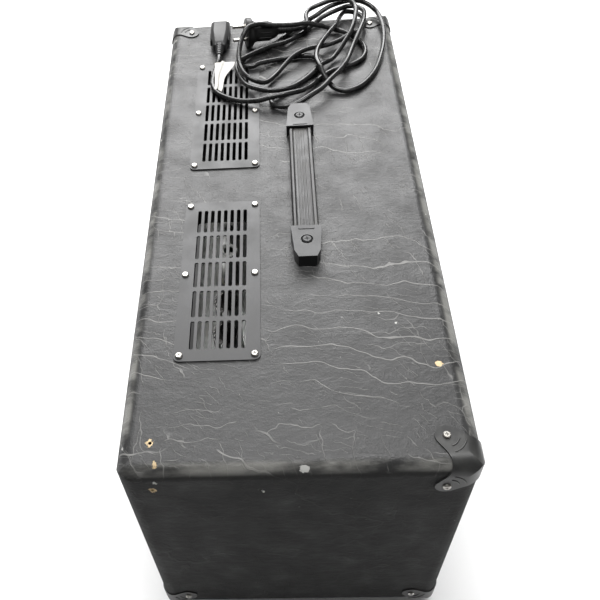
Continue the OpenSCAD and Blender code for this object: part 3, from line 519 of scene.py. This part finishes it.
def set_on(finish, **sockets):
    """Sets the shader's own sockets, or joins a network to them."""
    bsdf = shader(finish)
    for key, value in sockets.items():
        name = key.replace("_", " ").title().replace("Ior", "IOR")
        if isinstance(value, bpy.types.NodeSocket):
            finish.node_tree.links.new(value, bsdf.inputs[name])
        elif isinstance(value, tuple):
            bsdf.inputs[name].default_value = (*value, 1)
        else:
            bsdf.inputs[name].default_value = value
    return finish


# %% [markdown]
# ## Plain mouldings, paints and metals
# Plastic, paint and plated steel differ in colour and gloss, but their detail is alike: a little
# unevenness of tone, patches that are duller where hands have been, and a fine grain. One function
# makes them all, with the grain stretched where a metal is brushed.

# %% A general finish
def moulded(name, colour, worn, rough, metallic=0.0, grain=900, grain_depth=0.05, stretch=(1, 1, 1),
            patch=35, coat=0.0, scratches=0.0):
    finish = new_finish(name)
    at = space(finish)
    patches = noise(finish, at, patch, 5)
    fine = noise(finish, space(finish, stretch), grain, 2)
    tone = between(finish, patches, 0.35, 0.7)
    height = fine
    if scratches:
        lines = node(finish, "ShaderNodeTexNoise", {
            "Vector": space(finish, (1, 0.06, 1), (0, 0, 0.6)), "Scale": 700, "Detail": 2,
            "Distortion": 0.4}).outputs["Fac"]
        cut = between(finish, lines, 0.66, 0.7)
        height = calc(finish, "SUBTRACT", fine, calc(finish, "MULTIPLY", cut, scratches))
        tone = calc(finish, "MAXIMUM", tone, calc(finish, "MULTIPLY", cut, scratches))
    set_on(
        finish, base_color=blend(finish, tone, colour, worn),
        roughness=between(finish, patches, 0.3, 0.75, rough - 0.07, rough + 0.1),
        metallic=metallic, normal=relief(finish, height, grain_depth * MM, 0.6),
        specular_ior_level=0.5 if metallic else 0.34)
    if coat:
        set_on(finish, coat_weight=coat)
    return finish


FINISHES = {
    "corner_plastic": moulded("corner_plastic", (0.018, 0.018, 0.018), (0.04, 0.04, 0.038), 0.38,
        scratches=0.5),
    "plated_steel": moulded("plated_steel", (0.5, 0.49, 0.46), (0.34, 0.32, 0.29), 0.33, 1.0, 600, 0.03),
    "rubber": moulded("foot_rubber", (0.012, 0.012, 0.012), (0.03, 0.03, 0.028), 0.7, grain_depth=0.2),
    "cap_plastic": moulded("cap_plastic", (0.016, 0.016, 0.017), (0.03, 0.03, 0.031), 0.36, grain=1500,
        scratches=0.5),
    "grille_paint": moulded("grille_paint", (0.022, 0.022, 0.023), (0.034, 0.034, 0.034), 0.42, 0.0,
        1800, 0.08),
    "piping_plastic": moulded("ivory_piping", (0.62, 0.58, 0.48), (0.45, 0.4, 0.3), 0.4),
    "panel_aluminium": moulded("brushed_panel", (0.52, 0.52, 0.5), (0.4, 0.4, 0.38), 0.34, 1.0, 500,
        0.03, (0.02, 1, 1)),
    "chassis_steel": moulded("zinc_steel", (0.42, 0.43, 0.42), (0.28, 0.28, 0.26), 0.42, 0.9, 260, 0.03),
    "capacitor_sleeve": moulded("blue_sleeve", (0.03, 0.06, 0.2), (0.05, 0.08, 0.24), 0.3),
    "jack_plastic": moulded("jack_plastic", (0.02, 0.02, 0.02), (0.05, 0.05, 0.05), 0.35),
    "switch_plastic": moulded("switch_plastic", (0.013, 0.013, 0.013), (0.03, 0.03, 0.03), 0.38),
    "knob_plastic": moulded("knob_plastic", (0.01, 0.01, 0.01), (0.025, 0.025, 0.025), 0.2, coat=0.3),
    "rocker_red": moulded("rocker_red", (0.34, 0.012, 0.012), (0.22, 0.01, 0.01), 0.25, coat=0.3),
    "socket_ceramic": moulded("socket_ceramic", (0.72, 0.68, 0.58), (0.55, 0.5, 0.4), 0.3),
    "shield_aluminium": moulded("shield_aluminium", (0.55, 0.55, 0.54), (0.4, 0.4, 0.38), 0.38, 1.0),
    "iron_black": moulded("black_enamel", (0.012, 0.012, 0.013), (0.03, 0.03, 0.03), 0.4, grain=500,
        grain_depth=0.15),
    "plug_plastic": moulded("plug_plastic", (0.011, 0.011, 0.011), (0.026, 0.026, 0.026), 0.42,
        grain=1600, grain_depth=0.06),
}
print(len(FINISHES), "moulded finishes")

# %% [markdown]
# ## The black covering
# The cloth-backed vinyl is embossed like hide and scored by years of use. Long thin lines wander
# across the lid, shorter ones cross them on the slant, and a fine pore lies under all. A wave texture,
# pushed about by its own distortion, draws thin lines of even width, and noise wipes parts of them
# away. The rounded edges are rubbed smooth and greyer, which is partly wear and partly a painted
# highlight. The upright faces get painted shade: a near-black colour, almost none of the light lines
# and a rougher finish.

# %% Where the covering is knocked through
# place in millimetres, radius, and whether bare wood or pale backing cloth shows
CHIPS = [
    ((-341, 127.5, 338), 4.4, 1), ((-361, 122, 335), 4.6, 1), ((-371, 124, 322), 2.6, 0),
    ((-371, 127.5, 308), 4.2, 1), ((-366.5, -6, 333.5), 5.2, 0), ((-264, -133, 338), 4.6, 1),
    ((-344, 151, 334), 2.6, 0), ((-371, 30, 302), 2.0, 0), ((330, 150, 334), 2.6, 0),
    ((242, 155, 334), 2.8, 0), ((146, 156, 333), 2.4, 0), ((99, 155, 334), 2.6, 0),
    ((-201, -85, 338), 1.3, 0), ((-214, -100, 338), 1.0, 0), ((-60, -150, 336), 1.6, 0),
]


# %% Black vinyl
def scored(finish, at, turn, gap, width, distortion, wander, wipe_scale, kept_above):
    """Wandering lines about one gap apart and so wide, both in millimetres, partly wiped away."""
    turned = node(finish, "ShaderNodeMapping", {
        "Vector": at, "Rotation": (0, 0, math.radians(turn))}).outputs[0]
    wave = node(finish, "ShaderNodeTexWave", {
        "Vector": turned, "Scale": 314 / gap, "Distortion": distortion, "Detail": 3,
        "Detail Scale": wander}, bands_direction="X").outputs["Fac"]
    drop = 0.5 * (1 - math.cos(math.pi * width / gap))
    line = between(finish, wave, 1 - drop, 1 - 0.45 * drop)
    kept = between(finish, noise(finish, at, wipe_scale, 3), kept_above, kept_above + 0.07)
    return calc(finish, "MULTIPLY", line, kept)


def black_vinyl():
    finish = new_finish("black_vinyl")
    plain = space(finish)
    facing = node(finish, "ShaderNodeSeparateXYZ", {
        "Vector": node(finish, "ShaderNodeTexCoord").outputs["Normal"]}).outputs
    ax, ay, az = (calc(finish, "ABSOLUTE", facing[axis]) for axis in ("X", "Y", "Z"))
    flatness = calc(finish, "MAXIMUM", calc(finish, "MAXIMUM", ax, ay), az)
    on_edge = between(finish, flatness, 0.86, 0.985, 1.0, 0.0)
    upright = between(finish, az, 0.3, 0.75, 1.0, 0.0)

    long_lines = scored(finish, plain, 8, 25, 1.5, 9, 0.9, 8, 0.46)
    more_long = scored(finish, plain, -4, 18, 1.1, 8, 1.1, 13, 0.53)
    slanted = scored(finish, plain, 62, 20, 1.2, 9, 1.2, 16, 0.53)
    steep = scored(finish, plain, 84, 27, 0.9, 7, 1.3, 12, 0.57)
    short = scored(finish, plain, 50, 9, 0.9, 6, 1.5, 33, 0.55)
    fine = scored(finish, plain, 14, 7.5, 0.8, 5, 1.6, 30, 0.54)
    strong = calc(finish, "MAXIMUM", long_lines, calc(finish, "MULTIPLY", more_long, 0.7))
    weak = calc(finish, "MAXIMUM", calc(finish, "MAXIMUM", slanted, steep),
                calc(finish, "MULTIPLY", calc(finish, "MAXIMUM", short, fine), 0.75))
    lines = calc(finish, "MAXIMUM", strong, calc(finish, "MULTIPLY", weak, 0.65))

    pore = noise(finish, plain, 560, 3, 0.6)
    hide = noise(finish, space(finish, (1, 0.6, 1)), 105, 6, 0.7)
    swell = noise(finish, space(finish, (1, 0.5, 1)), 16, 3)
    height = calc(finish, "ADD", calc(finish, "MULTIPLY", hide, 1.5), calc(finish, "MULTIPLY", pore, 0.3))
    height = calc(finish, "ADD", height, calc(finish, "MULTIPLY", lines, 0.8))
    height = calc(finish, "ADD", height, calc(finish, "MULTIPLY", swell, 2.6))

    tone = noise(finish, plain, 5, 4)
    colour = blend(finish, between(finish, tone, 0.3, 0.7), (0.017, 0.017, 0.017), (0.026, 0.026, 0.026))
    # painted shade: the upright faces are blended towards near black
    colour = blend(finish, calc(finish, "MULTIPLY", upright, 0.8), colour, (0.003, 0.003, 0.0025))
    # this mask keeps the light lines and the lightened edges off the painted shade of the upright faces
    outside_painted_shade = calc(finish, "SUBTRACT", 1.0, calc(finish, "MULTIPLY", upright, 0.96))
    colour = blend(finish, calc(finish, "MULTIPLY", calc(finish, "MULTIPLY", lines, 0.62), outside_painted_shade),
        colour, (0.21, 0.207, 0.198))
    # wear and painted highlight: the rounded edges that face up are lightened towards grey
    edge_wear_and_highlight = calc(finish, "MULTIPLY", calc(finish, "MULTIPLY", on_edge, outside_painted_shade),
                  between(finish, noise(finish, space(finish, (1, 0.35, 1)), 45, 5), 0.36, 0.62))
    colour = blend(finish, calc(finish, "MULTIPLY", edge_wear_and_highlight, 0.8), colour, (0.2, 0.198, 0.185))
    specks = between(finish, noise(finish, plain, 310, 2), 0.765, 0.785)
    colour = blend(finish, calc(finish, "MULTIPLY", specks, 0.5), colour, (0.3, 0.3, 0.28))
    ragged = calc(finish, "MULTIPLY", calc(finish, "SUBTRACT", noise(finish, plain, 260, 4, 0.7), 0.5), 0.009)
    for place_at, radius, bare in CHIPS:
        away = node(finish, "ShaderNodeVectorMath", {
            0: plain, 1: tuple(c * MM for c in place_at)}, operation="DISTANCE").outputs["Value"]
        inside = between(finish, calc(finish, "ADD", away, ragged), radius * 0.7 * MM,
            radius * 0.8 * MM, 1, 0)
        colour = blend(finish, inside, colour, (0.5, 0.38, 0.22) if bare else (0.42, 0.42, 0.4))
        height = calc(finish, "SUBTRACT", height, inside)
    gloss = calc(finish, "ADD", noise(finish, plain, 30, 5), calc(finish, "MULTIPLY", upright, 0.7))
    set_on(
        finish, base_color=colour, roughness=between(finish, gloss, 0.2, 1.4, 0.28, 0.8),
        specular_ior_level=0.3,
        normal=relief(finish, height, 0.75 * MM, 0.8))
    return finish


FINISHES["vinyl"] = black_vinyl()

# %% [markdown]
# ## Wood, cloth, cable and the rest
# Plywood shows its plies on cut edges and its grain on faces. The grille cloth is a plain weave of two
# threads. The cable is smooth black PVC with a soft gloss. Each has a network of its own.

# %% Plywood
def plywood():
    finish = new_finish("plywood")
    grain = noise(finish, space(finish, (4, 60, 60)), 3, 8, 0.6, 0.6)
    rings = noise(finish, space(finish, (0.6, 9, 9)), 6, 4, 0.5, 1.2)
    plies = node(finish, "ShaderNodeTexWave", {"Vector": space(finish), "Scale": 95, "Distortion": 0.5},
                 bands_direction="Z").outputs["Fac"]
    colour = blend(finish, between(finish, grain, 0.3, 0.7), (0.50, 0.33, 0.16), (0.66, 0.47, 0.26))
    colour = blend(finish, calc(finish, "MULTIPLY", between(finish, plies, 0.6, 0.9), 0.35), colour,
        (0.33, 0.2, 0.1))
    # painted shade: the inside of the box is coloured near black, so that the slots look dark
    place_at = node(finish, "ShaderNodeSeparateXYZ", {"Vector": space(finish)}).outputs
    inside_painted_shade = between(finish, calc(finish, "ABSOLUTE", place_at["X"]), 0.3522, 0.3526, 1, 0)
    inside_painted_shade = calc(finish, "MULTIPLY", inside_painted_shade, between(finish, place_at["Z"], 0.0345, 0.0349))
    inside_painted_shade = calc(finish, "MULTIPLY", inside_painted_shade, between(
        finish, calc(finish, "ABSOLUTE", place_at["Y"]), 0.1555, 0.156, 1, 0))
    colour = blend(finish, inside_painted_shade, colour, (0.006, 0.006, 0.006))
    return set_on(finish, base_color=colour, roughness=between(finish, rings, 0.3, 0.7, 0.55, 0.75),
                  normal=relief(finish, grain, 0.15 * MM, 0.5))


# %% Woven grille cloth
def weave(name, dark, light, pitch):
    finish = new_finish(name)
    across = node(finish, "ShaderNodeTexWave", {"Vector": space(finish), "Scale": pitch, "Distortion": 0.6},
                  bands_direction="X").outputs["Fac"]
    up = node(finish, "ShaderNodeTexWave", {"Vector": space(finish), "Scale": pitch, "Distortion": 0.6},
              bands_direction="Z").outputs["Fac"]
    threads = calc(finish, "MAXIMUM", across, up)
    fuzz = noise(finish, space(finish), 1500, 3)
    colour = blend(finish, between(finish, threads, 0.35, 0.95), dark, light)
    return set_on(finish, base_color=blend(finish, fuzz, colour, dark), roughness=0.85,
                  normal=relief(finish, calc(finish, "ADD", threads,
                      calc(finish, "MULTIPLY", fuzz, 0.3)), 0.4 * MM))


# %% Cable, strap, paper, glass, lamp and board
def ribbed_strap():
    finish = new_finish("ribbed_strap")
    ribs = node(finish, "ShaderNodeTexWave", {"Vector": space(finish), "Scale": 95, "Distortion": 0.15},
                bands_direction="Y").outputs["Fac"]
    patches = noise(finish, space(finish), 40, 5)
    worn = blend(finish, between(finish, patches, 0.45, 0.8), (0.018, 0.018, 0.018), (0.06, 0.058, 0.054))
    return set_on(finish, base_color=worn, roughness=between(finish, patches, 0.3, 0.7, 0.3, 0.48),
                  specular_ior_level=0.34, normal=relief(finish, ribs, 0.2 * MM, 0.5))


def paper():
    finish = new_finish("white_paper")
    fibres = noise(finish, space(finish), 700, 5)
    soiled = noise(finish, space(finish), 60, 4)
    return set_on(finish, base_color=blend(finish, between(finish, soiled, 0.4, 0.8), (0.6, 0.59, 0.56),
        (0.48, 0.46, 0.41)),
                  roughness=0.75, normal=relief(finish, fibres, 0.08 * MM, 0.5))


def valve_glass():
    finish = new_finish("valve_glass")
    film = noise(finish, space(finish), 30, 4)
    silver = between(finish, node(finish, "ShaderNodeSeparateXYZ",
        {"Vector": space(finish)}).outputs["Z"], 0.196, 0.212)
    return set_on(finish, base_color=blend(finish, silver, (0.85, 0.88, 0.88), (0.35, 0.34, 0.33)),
                  metallic=calc(finish, "MULTIPLY", silver, 0.9),
                  roughness=between(finish, film, 0.3, 0.7, 0.04, 0.12), transmission_weight=0.85, ior=1.47)


def lamp_lens():
    finish = new_finish("lamp_lens")
    facets = node(finish, "ShaderNodeTexVoronoi", {"Vector": space(finish), "Scale": 420}).outputs["Distance"]
    return set_on(finish, base_color=blend(finish, facets, (0.55, 0.01, 0.01), (0.8, 0.05, 0.03)),
        roughness=0.12,
                  normal=relief(finish, facets, 0.5 * MM, 0.6), coat_weight=0.5)


def green_board():
    finish = new_finish("green_board")
    tracks = node(finish, "ShaderNodeTexBrick",
        {"Vector": space(finish), "Scale": 60, "Mortar Size": 0.04}).outputs["Fac"]
    return set_on(finish, base_color=blend(finish, tracks, (0.02, 0.1, 0.04), (0.04, 0.17, 0.07)),
        roughness=0.35,
                  normal=relief(finish, tracks, 0.05 * MM, 0.6))


FINISHES.update({
    "plywood": plywood(),
    "grille_fabric": weave("grille_cloth_weave", (0.006, 0.006, 0.006), (0.03, 0.03, 0.03), 210),
    "cord_rubber": moulded("cable_pvc", (0.010, 0.010, 0.010), (0.02, 0.02, 0.02), 0.26, 0.0, 300, 0.06,
        patch=60),
    "strap_rubber": ribbed_strap(),
    "paper": paper(),
    "valve_glass": valve_glass(),
    "lamp_red": lamp_lens(),
    "board_laminate": green_board(),
})

# %% Put a finish on every CAD node and on the pieces so far
def paint(obj, slot):
    obj.data.materials.clear()
    obj.data.materials.append(FINISHES[slot])


for part in frame["record"]["subparts"]:
    paint(frame["nodes"][part["node"]], part["material_slot"])
paint(lead, "cord_rubber")
for piece in (plug_body, plug_grips, connector, connector_relief, connector_ribs):
    paint(piece, "plug_plastic")
paint(plug_pins, "plated_steel")
paint(contacts, "plated_steel")
paint(tag, "paper")

# %% [markdown]
# ## The carrying strap
# The strap is one length of ribbed plastic over a steel strip: a rounded bead along each side and fine
# ribs between them. In the CAD model it is two stiff halves, so here one flat band covers both. A
# grid's rows are raised where the beads are, and a Solidify modifier gives it its depth.

# %% Strap
STRAP_Y = -19
STRAP_TOP = LID + 13
nothing_selected()
bpy.ops.mesh.primitive_grid_add(x_subdivisions=60, y_subdivisions=54, size=1)
strap = named("strap_band")
for vertex in strap.data.vertices:
    x, y = vertex.co.x * 172.4, vertex.co.y * 26.4
    side = abs(y)
    bead = 1.4 * max(0.0, 1 - ((side - 11.0) / 2.3) ** 2) ** 0.5
    groove = -0.5 * math.exp(-((side - 8.2) / 0.5) ** 2)
    ribs = 0.16 * math.cos(y * 2 * math.pi / 1.55) if side < 7.4 else 0
    vertex.co = Vector((x, STRAP_Y + y, STRAP_TOP - 1.5 + bead + groove + ribs)) * MM
depth = strap.modifiers.new("depth", "SOLIDIFY")
depth.thickness = 6.2 * MM
edge = strap.modifiers.new("edge", "BEVEL")
edge.width = 0.8 * MM
edge.segments = 2
edge.angle_limit = math.radians(60)
finish_modifiers(strap)
tongues = [
    block("tongue", (side * 85.5 if side > 0 else -101, STRAP_Y - 10, LID + 6.6),
          (101 if side > 0 else -85.5, STRAP_Y + 10, LID + 10.4), 0.4)
    for side in (-1, 1)]
strap = smooth(join("strap_band", [strap] + tongues), 40)
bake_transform(strap)
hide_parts("strap_left", "strap_right")
paint(strap, "strap_rubber")

# %% [markdown]
# ## Rounded edges on mouldings
# A moulding never has a knife edge, and the thin bright line along an edge is what makes it look
# solid. Merged copies of the CAD shapes get a small bevel on every sharp edge.

# %% Soften the mouldings
SOFT = {
    "handle_cap_left": ("cap_plastic", 0.8), "handle_cap_right": ("cap_plastic", 0.8),
    "rubber_feet": ("rubber", 1.0), "power_transformer": ("iron_black", 1.2),
    "output_transformer": ("iron_black", 1.2), "choke": ("iron_black", 1.0),
    "front_rail": ("vinyl", 1.5), "mains_inlet": ("switch_plastic", 0.4),
}
for cad_name, (slot, width) in SOFT.items():
    body = frame["nodes"][cad_name]["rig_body"]
    piece = softened(cad_name + "_soft", cad_name, width)
    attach(piece, body)
    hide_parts(cad_name)
    paint(piece, slot)
print("softened", len(SOFT), "mouldings")

# %% [markdown]
# ## Ridges on the corner protectors
# Two short curved ridges stand on each flat face of a protector, between its screw and the corner.
# They are sections of a ring: a torus cut by selecting the part that we keep. One pair is made, then
# copied and turned to each face that carries a screw.

# %% Corner ridges
HALF = Vector((371, 157.5, 161))
MID_Z = 16 + 161
INSET = 30
PROUD = 1.5
CORNERS = [(-1, -1, 1), (1, -1, 1), (1, 1, 1), (-1, -1, -1), (1, -1, -1), (-1, 1, -1), (1, 1, -1)]


def ridge(radius):
    """A third of a thin ring that faces +x and +y."""
    nothing_selected()
    bpy.ops.mesh.primitive_torus_add(
        major_radius=radius * MM, minor_radius=0.75 * MM, major_segments=64, minor_segments=8)
    arc = named("arc")
    bpy.ops.object.mode_set(mode="EDIT")
    bpy.ops.mesh.select_all(action="DESELECT")
    bpy.ops.object.mode_set(mode="OBJECT")
    for vertex in arc.data.vertices:
        bearing = math.degrees(math.atan2(vertex.co.y, vertex.co.x))
        vertex.select = not 12 < bearing < 78
    bpy.ops.object.mode_set(mode="EDIT")
    bpy.ops.mesh.delete(type="VERT")
    bpy.ops.mesh.select_all(action="SELECT")
    bpy.ops.mesh.fill_holes(sides=16)
    bpy.ops.mesh.normals_make_consistent(inside=False)
    bpy.ops.object.mode_set(mode="OBJECT")
    return arc


pair = join("ridge_pair", [ridge(10.5), ridge(16.5)])
ridges = []
for sx, sy, sz in CORNERS:
    lid_face = twin(pair)
    lid_face.data.transform(
        Matrix.Translation(Vector((sx * (HALF.x - INSET), sy * (HALF.y - INSET),
            MID_Z + sz * (HALF.z + PROUD))) * MM)
        @ Matrix.Diagonal((sx, sy, 0.8, 1)))
    end_face = twin(pair)
    end_face.data.transform(
        Matrix.Translation(Vector((sx * (HALF.x + PROUD), sy * (HALF.y - INSET),
            MID_Z + sz * (HALF.z - INSET))) * MM)
        @ Matrix.Diagonal((1, sy, sz, 1)) @ Matrix.Rotation(math.radians(90), 4,
            "Y") @ Matrix.Diagonal((-1, 1, 0.8, 1)))
    ridges += [lid_face, end_face]
bpy.data.objects.remove(pair)
corner_ridges = join("corner_ridges", ridges)
bpy.ops.object.mode_set(mode="EDIT")
bpy.ops.mesh.select_all(action="SELECT")
bpy.ops.mesh.normals_make_consistent(inside=False)
bpy.ops.object.mode_set(mode="OBJECT")
smooth(corner_ridges, 60)
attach(corner_ridges, "cabinet")
paint(corner_ridges, "corner_plastic")

# %% [markdown]
# ## Inside the glass
# Through the slots and the rear guard one sees the grey anode boxes inside the valves. Each is a
# folded sheet with wings, held between mica discs. One is modelled and copied.

# %% Valve electrodes
DECK = 105
electrodes = []
anode = block("anode", (-7, -9, DECK + 42), (7, 9, DECK + 86), 2.0)
wings = [block("wing", (side * 11 - 4 - 0.2, -0.4, DECK + 44), (side * 11 + 4, 0.4, DECK + 84), 0.1,
    1) for side in (-1, 1)]
discs = [place(lathe("mica", [(13.5, 0), (13.5, 0.6)], 28), (0, 0, z)) for z in (DECK + 40, DECK + 88)]
one = join("electrode", [anode] + wings + discs)
for i in range(4):
    electrodes.append(twin(one, (-215 + 50 * i, 78, 0)))
small = join("small_electrode", [
    block("anode", (-3.5, -4, DECK + 16), (3.5, 4, DECK + 38), 1.0),
    place(lathe("mica", [(8.5, 0), (8.5, 0.5)], 20), (0, 0, DECK + 40))])
for x in (70, 115, 160, 205):
    electrodes.append(twin(small, (x, 82, 0)))
for pattern in (one, small):
    bpy.data.objects.remove(pattern)
plates = join("valve_electrodes", electrodes)
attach(plates, "cabinet")
paint(plates, "chassis_steel")

# %% [markdown]
# ## Marks on the control panel
# Round each control stands a ring of short marks for the settings, and each knob carries a white
# pointer line. The marks are thin raised bars, one made and the rest turned round their knob.

# %% Dial marks and pointers
PANEL_Y = -131.5
DIAL_Z = 72
marks = []
for i in range(8):
    for step in range(11):
        mark = block("mark", (-0.35, -0.12, 13.6), (0.35, 0.0, 16.2 if step % 5 == 0 else 15.2), 0)
        mark.matrix_world = (
            Matrix.Translation(Vector((-205 + 50 * i, PANEL_Y, DIAL_Z)) * MM)
            @ Matrix.Rotation(math.radians(-150 + 30 * step), 4, "Y"))
        marks.append(settle(mark))
dial_marks = join("dial_marks", marks)
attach(dial_marks, "cabinet")
paint(dial_marks, "switch_plastic")
for i in range(8):
    x = -205 + 50 * i
    pointer = block("knob_pointer_%d" % (i + 1), (x - 0.45, -149.4, DIAL_Z + 2),
        (x + 0.45, -149.05, DIAL_Z + 9), 0.1, 1)
    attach(pointer, "knob_%d" % (i + 1))
    paint(pointer, "piping_plastic")

# %% [markdown]
# ## Floor and light
# A pale floor and large soft lamps, as in a small studio. A broad lamp stands beyond the far end: the
# covering mirrors it at a flat angle, which greys the far part of the lid and draws a bright line
# along the near edge.

# %% Floor
nothing_selected()
bpy.ops.mesh.primitive_plane_add(size=14, location=(0, 0, 0))
floor = named("floor")
floor_finish = new_finish("pale_floor")
set_on(floor_finish, base_color=(0.86, 0.86, 0.86), roughness=0.9)
floor.data.materials.append(floor_finish)


# %% Lamps
def lamp(name, at, aim, size, power):
    data = bpy.data.lights.new(name, "AREA")
    data.shape = "RECTANGLE"
    data.size, data.size_y = size
    data.energy = power
    obj = bpy.data.objects.new(name, data)
    scene.collection.objects.link(obj)
    obj.location = at
    obj.rotation_euler = (Vector(aim) - Vector(at)).to_track_quat("-Z", "Y").to_euler()


lamp("far_window", (3.0, 0.25, 2.5), (0.1, 0, 0.3), (3.4, 2.2), 262)
lamp("ceiling", (0.9, 0.2, 3.4), (0.2, 0, 0.3), (2.4, 1.6), 17)
lamp("edge_strip", (-0.2, 0, 2.4), (-0.2, 0, 0.3), (0.35, 1.6), 52)
lamp("camera_side", (-1.6, -2.4, 2.2), (0, 0, 0.2), (1.4, 1.4), 8)
world = bpy.data.worlds.new("studio")
world.use_nodes = True
world.node_tree.nodes["Background"].inputs["Color"].default_value = (1, 1, 1, 1)
world.node_tree.nodes["Background"].inputs["Strength"].default_value = 0.1
scene.world = world
scene.view_settings.view_transform = "Standard"
